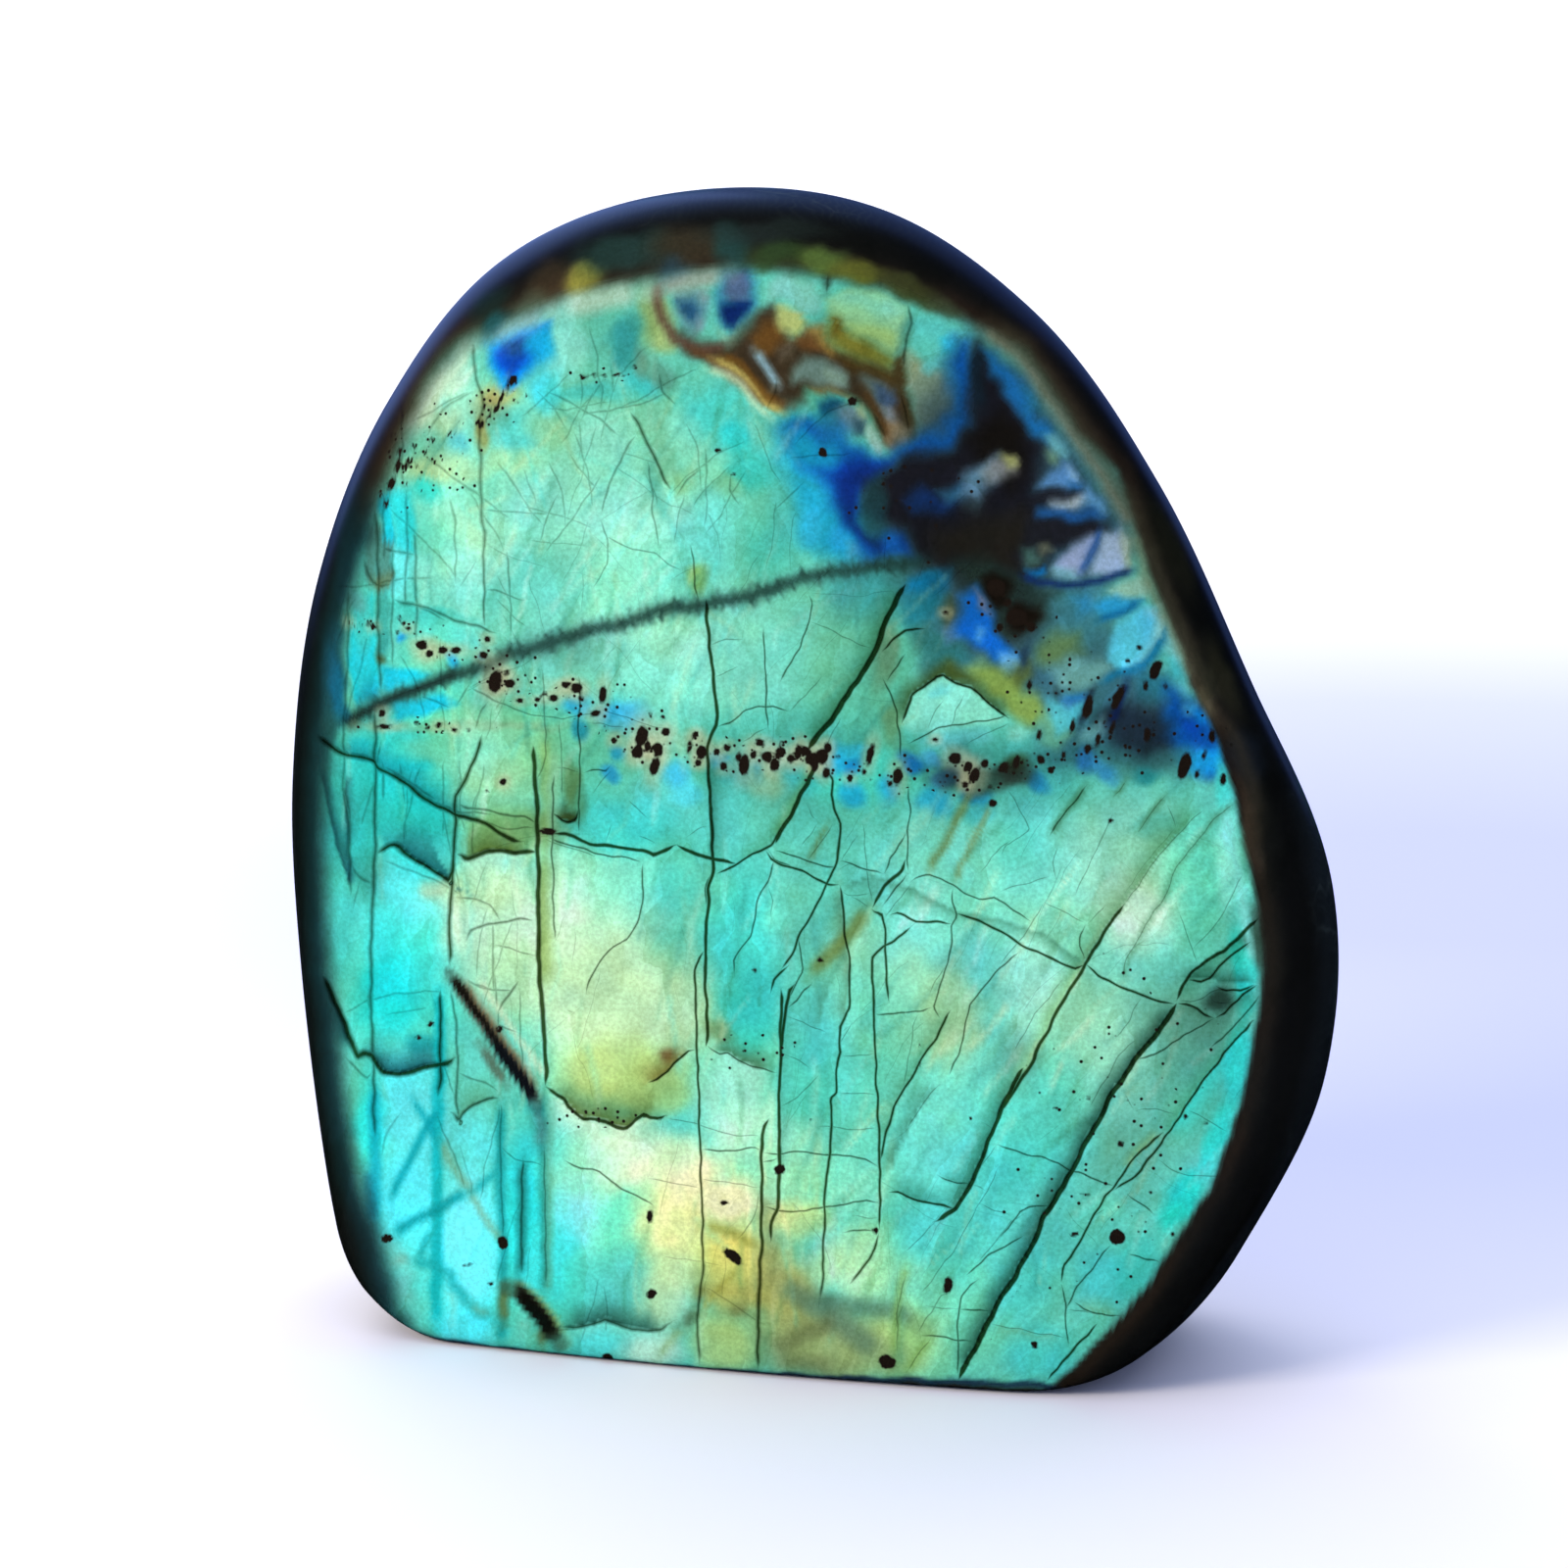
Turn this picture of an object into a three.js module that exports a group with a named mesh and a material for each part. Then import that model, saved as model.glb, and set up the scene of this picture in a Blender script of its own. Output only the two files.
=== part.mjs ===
// A polished labradorite freeform: one stone, sawn flat at the foot so that it stands on end,
// with a domed show face at the front and a rounder, ground back. Millimetres, +Z up.
// The show face looks along -Y, and the sawn foot lies in the plane z = 0.
//
// The stone is what is left when a rough lump has been cut on all sides: the rim wall, the
// show face, three back planes and the foot. Each cut is a signed depth, negative inside
// the stone, and neighbouring cuts are blended as a polishing wheel rounds the edge between them.
import * as THREE from "three";

// The rim seen from the front, as (across, up) points on one smooth closed curve. It runs
// below the foot at both ends, because the saw cut takes the bottom of the lump away.
const RIM_POINTS = [
  [-5, -15], [-34, -10], [-38, 1], [-41, 13], [-43.6, 30], [-44.2, 47], [-41.4, 65.5], [-35, 80.2],
  [-25.2, 91.8], [-6, 98], [7, 96.6], [19.6, 89.2], [30.8, 75], [39, 58],
  [45.8, 41], [45.2, 25], [37.2, 7], [27, -9],
];
const HEART_HEIGHT = 48; // the heart is the point inside that every surface point is measured from
const HALF_THICKNESS = 16; // spreads the rings of the mesh from front to back
const WALL_BARREL = 2.5; // how far the rim wall draws in where it meets the front and the back
const WALL_MIDDLE = 1.5; // how far behind the heart the wall is widest

// The show face: its depth at the foot, the backward lean, and how much it is domed.
const FACE_AT_FOOT = -17;
const FACE_LEAN = THREE.MathUtils.degToRad(3);
const FACE_DOME_ACROSS = 3;
const FACE_DOME_UP = 1.5;
const FACE_HALF_WIDTH = 44;
const FACE_HALF_HEIGHT = 50;

// The back: three broad ground planes, each a direction and its distance from the heart.
const BACK_PLANES = [
  { facing: new THREE.Vector3(-0.2, 0.97, 0.1).normalize(), distance: 19 },
  { facing: new THREE.Vector3(0.24, 0.96, 0.16).normalize(), distance: 19 },
  { facing: new THREE.Vector3(0.03, 0.99, -0.08).normalize(), distance: 19 },
];
const BACK_RIDGE_SOFTNESS = 8;

// How wide each edge is rounded. The edges at the foot are crisper than those of the rim.
const FACE_EDGE = { rim: 8, foot: 2 };
const BACK_EDGE = { rim: 13, foot: 7 };
const FOOT_CORNER = 9;
const FOOT_EDGE_STARTS = 18; // below the heart, where the rim's edge begins to sharpen
const FOOT_EDGE_ENDS = 47;

// The faceted surface: steps round the rim and from the front pole to the back pole.
const STEPS_ROUND = 108;
const STEPS_FRONT_TO_BACK = 40;
const RING_CROWDING = 0.12; // draws the rings together where the stone turns its edges
const FARTHEST = 90; // no surface point is farther than this from the heart
const HALVINGS = 40; // narrows a surface point down to far less than a micrometre
const FLAT_ENOUGH = 1e-4; // points this near the foot's plane are set exactly on it

// The larger of two depths, rounded over a band of the given width.
function blendCuts(a, b, width) {
  const overlap = Math.max(width - Math.abs(a - b), 0);
  return Math.max(a, b) + (overlap * overlap) / (4 * width);
}

// The rim's points as angle and distance from the heart, in order of angle, with the first
// few and the last few repeated one turn away, so that the curve closes on itself.
function polarRim() {
  const polar = RIM_POINTS.map(([x, z]) => {
    const up = z - HEART_HEIGHT;
    return { angle: Math.atan2(up, x), radius: Math.hypot(x, up) };
  }).sort((a, b) => a.angle - b.angle);
  const turned = (p, turns) => ({ angle: p.angle + turns * 2 * Math.PI, radius: p.radius });
  const knots = [
    ...polar.slice(-2).map((p) => turned(p, -1)),
    ...polar,
    ...polar.slice(0, 3).map((p) => turned(p, 1)),
  ];
  // The slope at a knot is that of the parabola through it and its two neighbours.
  knots.slice(1, -1).forEach((knot, i) => {
    const [last, next] = [knots[i], knots[i + 2]];
    const [before, after] = [knot.angle - last.angle, next.angle - knot.angle];
    const arriving = (knot.radius - last.radius) / before;
    const leaving = (next.radius - knot.radius) / after;
    knot.slope = (arriving * after + leaving * before) / (before + after);
  });
  return knots;
}
const RIM = polarRim();

// Distance of the rim from the heart in one direction, and how fast it changes with angle.
function rimAt(angle) {
  const turn = angle < RIM[2].angle ? angle + 2 * Math.PI : angle;
  const next = RIM.findIndex((knot) => knot.angle > turn);
  const [a, b] = [RIM[next - 1], RIM[next]];
  const step = b.angle - a.angle;
  const s = (turn - a.angle) / step;
  const [s2, s3] = [s * s, s * s * s];
  const radius =
    (2 * s3 - 3 * s2 + 1) * a.radius +
    (s3 - 2 * s2 + s) * step * a.slope +
    (3 * s2 - 2 * s3) * b.radius +
    (s3 - s2) * step * b.slope;
  const change =
    ((6 * s2 - 6 * s) * (a.radius - b.radius)) / step +
    (3 * s2 - 4 * s + 1) * a.slope +
    (3 * s2 - 2 * s) * b.slope;
  return { radius, change };
}

// The rim wall, drawn in a little towards the front and the back like a barrel.
function wallCut(x, y, up) {
  const { radius, change } = rimAt(Math.atan2(up, x));
  const outside = Math.hypot(x, up) - radius;
  const slant = radius / Math.hypot(radius, change);
  return outside * slant + WALL_BARREL * ((y - WALL_MIDDLE) / HALF_THICKNESS) ** 2;
}

function faceCut(x, y, z) {
  const up = z - HEART_HEIGHT;
  const dome =
    FACE_DOME_ACROSS * (x / FACE_HALF_WIDTH) ** 2 +
    FACE_DOME_UP * (up / FACE_HALF_HEIGHT) ** 2;
  return FACE_AT_FOOT + Math.tan(FACE_LEAN) * z + dome - y;
}

function backCut(x, y, up) {
  const depths = BACK_PLANES.map((p) => p.facing.dot(new THREE.Vector3(x, y, up)) - p.distance);
  return depths.reduce((a, b) => blendCuts(a, b, BACK_RIDGE_SOFTNESS));
}

// Depth of a point below the finished surface: negative inside the stone.
function stoneDepth(x, y, z) {
  const up = z - HEART_HEIGHT;
  const atFoot = THREE.MathUtils.smoothstep(-up, FOOT_EDGE_STARTS, FOOT_EDGE_ENDS);
  const edge = ({ rim, foot }) => THREE.MathUtils.lerp(rim, foot, atFoot);
  const side = blendCuts(wallCut(x, y, up), -z, FOOT_CORNER);
  const fronted = blendCuts(side, faceCut(x, y, z), edge(FACE_EDGE));
  return blendCuts(fronted, backCut(x, y, up), edge(BACK_EDGE));
}

// Walks out from the heart in one direction until the surface is met, by halving.
function surfacePoint(direction) {
  let [near, far] = [0, FARTHEST];
  const p = new THREE.Vector3();
  for (let i = 0; i < HALVINGS; i += 1) {
    const middle = (near + far) / 2;
    p.copy(direction).multiplyScalar(middle);
    if (stoneDepth(p.x, p.y, p.z + HEART_HEIGHT) < 0) near = middle;
    else far = middle;
  }
  return p.copy(direction).multiplyScalar((near + far) / 2);
}

// A sphere with its poles at the front and the back, stretched to the rim's outline so that
// its rings follow the edges of the stone, and then every vertex brought to the surface.
function stoneGeometry() {
  const sphere = new THREE.SphereGeometry(1, STEPS_ROUND, STEPS_FRONT_TO_BACK);
  const at = sphere.getAttribute("position");
  const direction = new THREE.Vector3();
  for (let i = 0; i < at.count; i += 1) {
    const round = Math.atan2(at.getZ(i), at.getX(i));
    const even = Math.acos(THREE.MathUtils.clamp(-at.getY(i), -1, 1));
    const fromFront = even + RING_CROWDING * Math.sin(4 * even);
    const toFoot = round < 0 ? HEART_HEIGHT / -Math.sin(round) : Infinity;
    const reach = Math.min(rimAt(round).radius, toFoot) * Math.sin(fromFront);
    const depth = -HALF_THICKNESS * Math.cos(fromFront);
    direction.set(reach * Math.cos(round), depth, reach * Math.sin(round));
    const p = surfacePoint(direction.normalize());
    const z = p.z + HEART_HEIGHT;
    at.setXYZ(i, p.x, p.y, Math.abs(z) < FLAT_ENOUGH ? 0 : z);
  }
  sphere.computeVertexNormals();
  return sphere;
}

const polishedFeldspar = new THREE.MeshStandardMaterial({
  color: "#3f8f84",
  roughness: 0.15,
  metalness: 0.1,
});

function labradorite() {
  const stone = new THREE.Mesh(stoneGeometry(), polishedFeldspar);
  stone.name = "labradorite";
  return stone;
}

const part = new THREE.Group();
part.add(labradorite());

export default part;
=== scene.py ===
# %% [markdown]
# # A polished labradorite freeform
# Labradorite is a feldspar. Thin layers inside it split the light, so one side of the stone
# flashes blue, green and gold while the rest stays nearly black. This one was sawn flat at the
# foot, ground round on every side and polished, and it stands on its own foot.
# The lesson has four parts: the shape of the stone, the marks on its show face, its polished
# material, and a plain studio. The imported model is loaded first, because it fixes the frame.

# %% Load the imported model
import math
import bpy
import numpy as np
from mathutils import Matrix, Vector


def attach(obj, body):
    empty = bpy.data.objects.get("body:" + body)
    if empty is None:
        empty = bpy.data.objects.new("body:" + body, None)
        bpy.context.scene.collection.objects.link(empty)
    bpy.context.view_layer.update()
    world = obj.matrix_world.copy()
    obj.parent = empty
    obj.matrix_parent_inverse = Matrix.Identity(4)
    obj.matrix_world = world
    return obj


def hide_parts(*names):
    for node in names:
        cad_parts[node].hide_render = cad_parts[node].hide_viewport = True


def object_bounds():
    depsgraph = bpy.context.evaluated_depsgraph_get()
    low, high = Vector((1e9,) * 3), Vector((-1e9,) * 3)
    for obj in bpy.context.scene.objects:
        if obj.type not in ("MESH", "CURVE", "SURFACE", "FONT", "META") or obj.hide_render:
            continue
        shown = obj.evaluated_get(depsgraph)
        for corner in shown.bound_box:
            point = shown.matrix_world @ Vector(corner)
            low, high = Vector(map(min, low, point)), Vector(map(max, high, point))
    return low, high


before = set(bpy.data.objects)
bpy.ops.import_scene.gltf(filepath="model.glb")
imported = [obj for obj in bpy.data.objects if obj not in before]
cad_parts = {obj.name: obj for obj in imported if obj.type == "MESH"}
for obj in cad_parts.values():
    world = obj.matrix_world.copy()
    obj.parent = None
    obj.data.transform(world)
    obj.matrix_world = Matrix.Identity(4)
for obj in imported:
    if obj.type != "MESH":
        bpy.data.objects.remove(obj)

MM = 0.001  # Blender works in metres, and the stone's sizes are given in millimetres


def box_corners():
    return [[float(value) for value in corner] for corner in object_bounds()]


cad_box = box_corners()
print("CAD box in metres:", cad_box)

# %% [markdown]
# ## Camera
# The stone was looked at from a little to its right and a little above, with a long lens that
# keeps its outline almost free of perspective. The camera comes first, because the marks on the
# show face are listed by where they stand in that picture, which is 1600 pixels wide.

# %% Camera
PICTURE = 1600
LENS = 100.0
SENSOR = 36.0
CAMERA_AZIMUTH = math.radians(14)
CAMERA_ELEVATION = math.radians(12)
CAMERA_DISTANCE = 370.0
CAMERA_AIM = np.array([-1.4, 0.0, 47.6])

backward = np.array([
    math.sin(CAMERA_AZIMUTH) * math.cos(CAMERA_ELEVATION),
    -math.cos(CAMERA_AZIMUTH) * math.cos(CAMERA_ELEVATION),
    math.sin(CAMERA_ELEVATION),
])
rightward = np.array([math.cos(CAMERA_AZIMUTH), math.sin(CAMERA_AZIMUTH), 0.0])
upward = np.cross(backward, rightward)
camera_place = CAMERA_AIM + backward * CAMERA_DISTANCE

camera_data = bpy.data.cameras.new("camera")
camera_data.lens = LENS
camera_data.sensor_width = SENSOR
camera_data.clip_start = 0.01
camera_data.clip_end = 100
camera = bpy.data.objects.new("camera", camera_data)
camera.location = camera_place * MM
camera.rotation_euler = Vector(backward).to_track_quat("Z", "Y").to_euler()
bpy.context.scene.collection.objects.link(camera)
bpy.context.scene.camera = camera


def in_picture(points):
    """Where points of the stone, in millimetres, stand in the picture, in pixels."""
    sight = points - camera_place
    depth = -(sight @ backward)
    enlarged = LENS / SENSOR * PICTURE / depth
    across = PICTURE / 2 + enlarged * (sight @ rightward)
    down = PICTURE / 2 - enlarged * (sight @ upward)
    return np.stack([across, down], -1)


print("the stone's heart is at pixel", in_picture(np.array([0.0, 0.0, 48.0])).round(1))

# %% [markdown]
# ## The cuts that make the shape
# A cutter grinds a rim wall, a slightly domed show face, three broad planes at the back and a
# sawn foot, and the wheel rounds every edge between them. Sculpting a ball would give lumps, so
# each cut is written as a depth that is negative inside the stone. Where two cuts meet, the
# larger depth wins, rounded over the width of the edge. These are the cuts of the CAD model.

# %% The rim's outline
RIM_POINTS = [
    (-5, -15), (-34, -10), (-38, 1), (-41, 13), (-43.6, 30), (-44.2, 47), (-41.4, 65.5),
    (-35, 80.2), (-25.2, 91.8), (-6, 98), (7, 96.6), (19.6, 89.2), (30.8, 75), (39, 58),
    (45.8, 41), (45.2, 25), (37.2, 7), (27, -9),
]
HEART_HEIGHT = 48.0  # the heart is the point inside that every surface point is measured from


def polar_rim():
    """The rim's points as angle, distance from the heart and slope, closed on themselves."""
    across, height = np.array(RIM_POINTS, dtype=float).T
    angle = np.arctan2(height - HEART_HEIGHT, across)
    order = np.argsort(angle)
    radius = np.hypot(across, height - HEART_HEIGHT)[order]
    angle = angle[order]
    angle = np.concatenate([angle[-2:] - 2 * np.pi, angle, angle[:3] + 2 * np.pi])
    radius = np.concatenate([radius[-2:], radius, radius[:3]])
    step = np.diff(angle)
    climb = np.diff(radius) / step
    slope = np.zeros_like(radius)
    slope[1:-1] = (climb[:-1] * step[1:] + climb[1:] * step[:-1]) / (step[:-1] + step[1:])
    return angle, radius, slope


RIM_ANGLE, RIM_RADIUS, RIM_SLOPE = polar_rim()


def rim_at(angle):
    """Distance of the rim from the heart in each direction, and how fast it changes."""
    turned = np.where(angle < RIM_ANGLE[2], angle + 2 * np.pi, angle)
    after = np.searchsorted(RIM_ANGLE, turned, side="right")
    before = after - 1
    step = RIM_ANGLE[after] - RIM_ANGLE[before]
    s = (turned - RIM_ANGLE[before]) / step
    radius = (
        (2 * s**3 - 3 * s**2 + 1) * RIM_RADIUS[before]
        + (s**3 - 2 * s**2 + s) * step * RIM_SLOPE[before]
        + (3 * s**2 - 2 * s**3) * RIM_RADIUS[after]
        + (s**3 - s**2) * step * RIM_SLOPE[after]
    )
    change = (
        (6 * s**2 - 6 * s) * (RIM_RADIUS[before] - RIM_RADIUS[after]) / step
        + (3 * s**2 - 4 * s + 1) * RIM_SLOPE[before]
        + (3 * s**2 - 2 * s) * RIM_SLOPE[after]
    )
    return radius, change


print("the rim has", len(RIM_POINTS), "points")

# %% The cuts and their blended edges
HALF_THICKNESS = 16.0
WALL_BARREL = 2.5
WALL_MIDDLE = 1.5
FACE_AT_FOOT = -17.0
FACE_LEAN = math.radians(3)
FACE_DOME_ACROSS = 3.0
FACE_DOME_UP = 1.5
FACE_HALF_WIDTH = 44.0
FACE_HALF_HEIGHT = 50.0
BACK_PLANES = [((-0.2, 0.97, 0.1), 19.0), ((0.24, 0.96, 0.16), 19.0), ((0.03, 0.99, -0.08), 19.0)]
BACK_RIDGE_SOFTNESS = 8.0
FACE_EDGE = (8.0, 2.0)  # width of the rounded edge at the rim, and at the foot
BACK_EDGE = (13.0, 7.0)
FOOT_CORNER = 9.0
FOOT_EDGE_STARTS = 18.0
FOOT_EDGE_ENDS = 47.0


def smoothstep(value, start, end):
    t = np.clip((value - start) / (end - start), 0, 1)
    return t * t * (3 - 2 * t)


def blend_cuts(a, b, width):
    overlap = np.maximum(width - np.abs(a - b), 0)
    return np.maximum(a, b) + overlap**2 / (4 * width)


def stone_depth(x, y, z):
    """Depth below the finished surface in millimetres, negative inside the stone."""
    height = z - HEART_HEIGHT
    radius, change = rim_at(np.arctan2(height, x))
    wall = (np.hypot(x, height) - radius) * radius / np.hypot(radius, change)
    wall = wall + WALL_BARREL * ((y - WALL_MIDDLE) / HALF_THICKNESS) ** 2
    dome = FACE_DOME_ACROSS * (x / FACE_HALF_WIDTH) ** 2
    dome = dome + FACE_DOME_UP * (height / FACE_HALF_HEIGHT) ** 2
    face = FACE_AT_FOOT + math.tan(FACE_LEAN) * z + dome - y
    back = None
    for facing, distance in BACK_PLANES:
        nx, ny, nz = np.array(facing) / np.linalg.norm(facing)
        plane = nx * x + ny * y + nz * height - distance
        back = plane if back is None else blend_cuts(back, plane, BACK_RIDGE_SOFTNESS)
    at_foot = smoothstep(-height, FOOT_EDGE_STARTS, FOOT_EDGE_ENDS)
    face_edge = FACE_EDGE[0] + (FACE_EDGE[1] - FACE_EDGE[0]) * at_foot
    back_edge = BACK_EDGE[0] + (BACK_EDGE[1] - BACK_EDGE[0]) * at_foot
    side = blend_cuts(wall, -z, FOOT_CORNER)
    return blend_cuts(blend_cuts(side, face, face_edge), back, back_edge)


print("depth at the heart:", round(float(stone_depth(0.0, 0.0, HEART_HEIGHT)), 2), "mm")

# %% [markdown]
# ## A mesh with fine triangles where the marks are
# The show face carries hundreds of hairline cracks, so its points lie about 0.3 mm apart, while
# 1 mm is enough for the wall and the back. The mesh is made of rings that run from the middle
# of the face, over the rim, to the middle of the back. Each ring gets as many points as its
# length needs, and neighbouring rings are stitched together like a zip.

# %% Points on the surface
FARTHEST = 90.0
HALVINGS = 32


def surface_points(direction):
    """Walks out from the heart in each direction until the surface is met, by halving."""
    direction = direction / np.linalg.norm(direction, axis=-1, keepdims=True)
    near = np.zeros(direction.shape[:-1])
    far = np.full(direction.shape[:-1], FARTHEST)
    x, y, z = np.moveaxis(direction, -1, 0)
    for _ in range(HALVINGS):
        middle = (near + far) / 2
        inside = stone_depth(x * middle, y * middle, z * middle + HEART_HEIGHT) < 0
        near = np.where(inside, middle, near)
        far = np.where(inside, far, middle)
    points = direction * near[..., None]
    points[..., 2] += HEART_HEIGHT
    return points


def ring_points(from_front, angle):
    """Points on the ring at this angle from the front pole, in these directions round it."""
    angle = np.arctan2(np.sin(angle), np.cos(angle))
    to_foot = np.where(np.sin(angle) < 0, -HEART_HEIGHT / np.minimum(np.sin(angle), -1e-9), np.inf)
    reach = np.minimum(rim_at(angle)[0], to_foot) * np.sin(from_front)
    depth = -HALF_THICKNESS * np.cos(from_front) + 0 * reach
    return surface_points(np.stack([reach * np.cos(angle), depth, reach * np.sin(angle)], -1))


# %% Where the rings go
FACE_SPACING = 0.325
BACK_SPACING = 0.97
FACE_ENDS = -9.0  # the face's fine spacing starts to widen at this depth, in millimetres
WIDE_FROM = 3.0

turns = np.linspace(0, 2 * np.pi, 72, endpoint=False)
trial = np.linspace(1e-6, np.pi - 1e-6, 361)
profile = ring_points(trial[:, None], turns[None, :])
walked = np.linalg.norm(np.diff(profile, axis=0), axis=-1).mean(axis=1)
middle_depth = (profile[1:, :, 1] + profile[:-1, :, 1]).mean(axis=1) / 2
spacing = FACE_SPACING + (BACK_SPACING - FACE_SPACING) * smoothstep(
    middle_depth, FACE_ENDS, WIDE_FROM)
rings_walked = np.concatenate([[0], np.cumsum(walked / spacing)])
ring_count = int(round(rings_walked[-1]))
ring_angles = np.interp(np.linspace(0, rings_walked[-1], ring_count + 1), rings_walked, trial)
ring_spacing = np.interp(ring_angles, trial[1:], spacing)
print(ring_count + 1, "rings from the front pole to the back pole")


# %% The points of every ring, evenly spaced
def even_ring(from_front, gap):
    fine = np.linspace(0, 2 * np.pi, 721)
    path = ring_points(np.full(721, from_front), fine)
    length = np.concatenate([[0], np.cumsum(np.linalg.norm(np.diff(path, axis=0), axis=1))])
    count = max(int(round(length[-1] / gap)), 5)
    share = np.arange(count) / count * length[-1]
    return ring_points(np.full(count, from_front), np.interp(share, length, fine))


front_pole = surface_points(np.array([[0.0, -1.0, 0.0]]))
back_pole = surface_points(np.array([[0.0, 1.0, 0.0]]))
middle_rings = [even_ring(a, gap) for a, gap in zip(ring_angles[1:-1], ring_spacing[1:-1])]
rings = [front_pole, *middle_rings, back_pole]
stone_points = np.concatenate(rings)
FLAT_ENOUGH = 1e-3  # points this near the foot's plane are set exactly on it
stone_points[np.abs(stone_points[:, 2]) < FLAT_ENOUGH, 2] = 0
cad_low, cad_high = np.array(cad_box) / MM
stone_points = np.clip(stone_points, cad_low, cad_high)
print(len(stone_points), "points on the stone")


# %% Stitch the rings
def zip_rings(first_at, first_count, second_at, second_count):
    """Triangles between two rings: each edge of one ring meets the nearest point of the other."""
    triangles = []
    first_time = (np.arange(first_count) + 0.5) / first_count
    second_time = (np.arange(second_count) + 0.5) / second_count
    if first_count > 1:
        other = np.searchsorted(second_time, first_time, side="left") % second_count
        here = np.arange(first_count)
        after = (here + 1) % first_count
        triangles.append(np.stack([first_at + here, first_at + after, second_at + other], 1))
    if second_count > 1:
        other = np.searchsorted(first_time, second_time, side="right") % first_count
        here = np.arange(second_count)
        after = (here + 1) % second_count
        triangles.append(np.stack([second_at + after, second_at + here, first_at + other], 1))
    return np.concatenate(triangles)


starts = np.cumsum([0] + [len(ring) for ring in rings])
stone_triangles = np.concatenate([
    zip_rings(starts[i], len(rings[i]), starts[i + 1], len(rings[i + 1]))
    for i in range(len(rings) - 1)
])
a, b, c = (stone_points[stone_triangles[:, k]] for k in range(3))
volume = np.einsum("ij,ij->i", a, np.cross(b, c)).sum() / 6
if volume < 0:
    stone_triangles = stone_triangles[:, ::-1]
print(len(stone_triangles), "triangles, volume", round(abs(volume) / 1000, 1), "cubic centimetres")

# %% The stone's mesh
stone_mesh = bpy.data.meshes.new("polished_stone")
stone_mesh.from_pydata((stone_points * MM).tolist(), [], stone_triangles.tolist())
stone_mesh.update()
stone_mesh.shade_smooth()
stone = bpy.data.objects.new("polished_stone", stone_mesh)
bpy.context.scene.collection.objects.link(stone)
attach(stone, "root")
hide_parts("labradorite")

outward = np.zeros(len(stone_points) * 3)
stone_mesh.vertices.foreach_get("normal", outward)
outward = outward.reshape(-1, 3)
print("mesh is closed:", len(stone_mesh.edges) * 2 == len(stone_triangles) * 3)

# %% [markdown]
# ## Colours
# Every colour is written as the sRGB hex value that a paint program shows. Blender's shaders add
# up light, so one function turns such a value into linear light. The flash runs from cobalt,
# where the layers in the feldspar are thinnest, through aqua to gold, where they are thickest.

# %% Palette
PALETTE = {
    "aqua": "#62D4BC", "seafoam": "#80E0C0", "mint": "#9CEECA", "lime": "#C4E8A0", "gold": "#B5B058",
    "cyan": "#22DCE0", "ice": "#70F6FC", "teal": "#2EBCB4", "bark": "#2A2014", "soot": "#101210",
}


def shade(colour):
    """A palette name or hex value as three sRGB numbers from 0 to 1."""
    digits = PALETTE.get(colour, colour).lstrip("#")
    return np.array([int(digits[i:i + 2], 16) / 255 for i in (0, 2, 4)])


def linear(colour):
    """sRGB numbers, or a palette name or hex value, as linear light."""
    value = shade(colour) if isinstance(colour, str) else np.asarray(colour, dtype=float)
    return np.where(value <= 0.04045, value / 12.92, ((value + 0.055) / 1.055) ** 2.4)


def linear_rgba(colour):
    return (*[float(part) for part in linear(colour)], 1.0)


print(len(PALETTE), "colours in the palette")

# %% [markdown]
# ## Painting on the points of the mesh
# The flash is colour inside the stone, not relief, so it is painted: every point of the mesh
# holds a colour. An image texture would need a picture file, and a pure noise pattern could not
# follow this stone's cracks. So a few soft brushes work on the points that face the camera, and
# each brush is placed by its pixel in the picture. The colours belong to the mesh, so they stay
# where they are on the stone in any view. The sides that face away get their colour in the shader.

# %% Canvas
toward_camera = camera_place - stone_points
toward_camera /= np.linalg.norm(toward_camera, axis=1, keepdims=True)
facing = (outward * toward_camera).sum(axis=1)
seen = np.flatnonzero(facing > 0)
seen_exact = in_picture(stone_points[seen])


WAVES = 9  # how many waves add up to one ripple


def ripple(places, size, seed):
    """A gentle random wave between about -1 and 1, with bumps of about this size."""
    dice = np.random.default_rng(seed)
    total = np.zeros(len(places))
    for _ in range(WAVES):
        turn, phase, pitch = dice.uniform([0, 0, 0.6], [2 * np.pi, 2 * np.pi, 1.6])
        along = places @ np.array([math.cos(turn), math.sin(turn)])
        total += np.sin(along * 2 * np.pi * pitch / size / 2 + phase)
    return total / math.sqrt(WAVES / 2) / 1.6


# Natural edges are never quite straight, so the canvas itself is bent by about a pixel.
WOBBLE = 0.9
seen_at = seen_exact + WOBBLE * np.stack([
    ripple(seen_exact, 26, 1) + 0.5 * ripple(seen_exact, 11, 2),
    ripple(seen_exact, 26, 3) + 0.5 * ripple(seen_exact, 11, 4),
], -1)
# Patches of colour wander more than lines do, so they lie on a more strongly bent canvas.
LOOSE_WOBBLE = 3.4
loose_at = seen_exact + LOOSE_WOBBLE * np.stack([
    ripple(seen_exact, 46, 5) + 0.6 * ripple(seen_exact, 17, 6),
    ripple(seen_exact, 46, 7) + 0.6 * ripple(seen_exact, 17, 8),
], -1)
paint = np.tile(shade("aqua"), (len(seen), 1))
print(len(seen), "points face the camera")


# %% Brushes
def points_of(text):
    """'345,738 380,722' as a list of places in the picture."""
    return np.array([[float(part) for part in pair.split(",")] for pair in text.split()])


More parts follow.
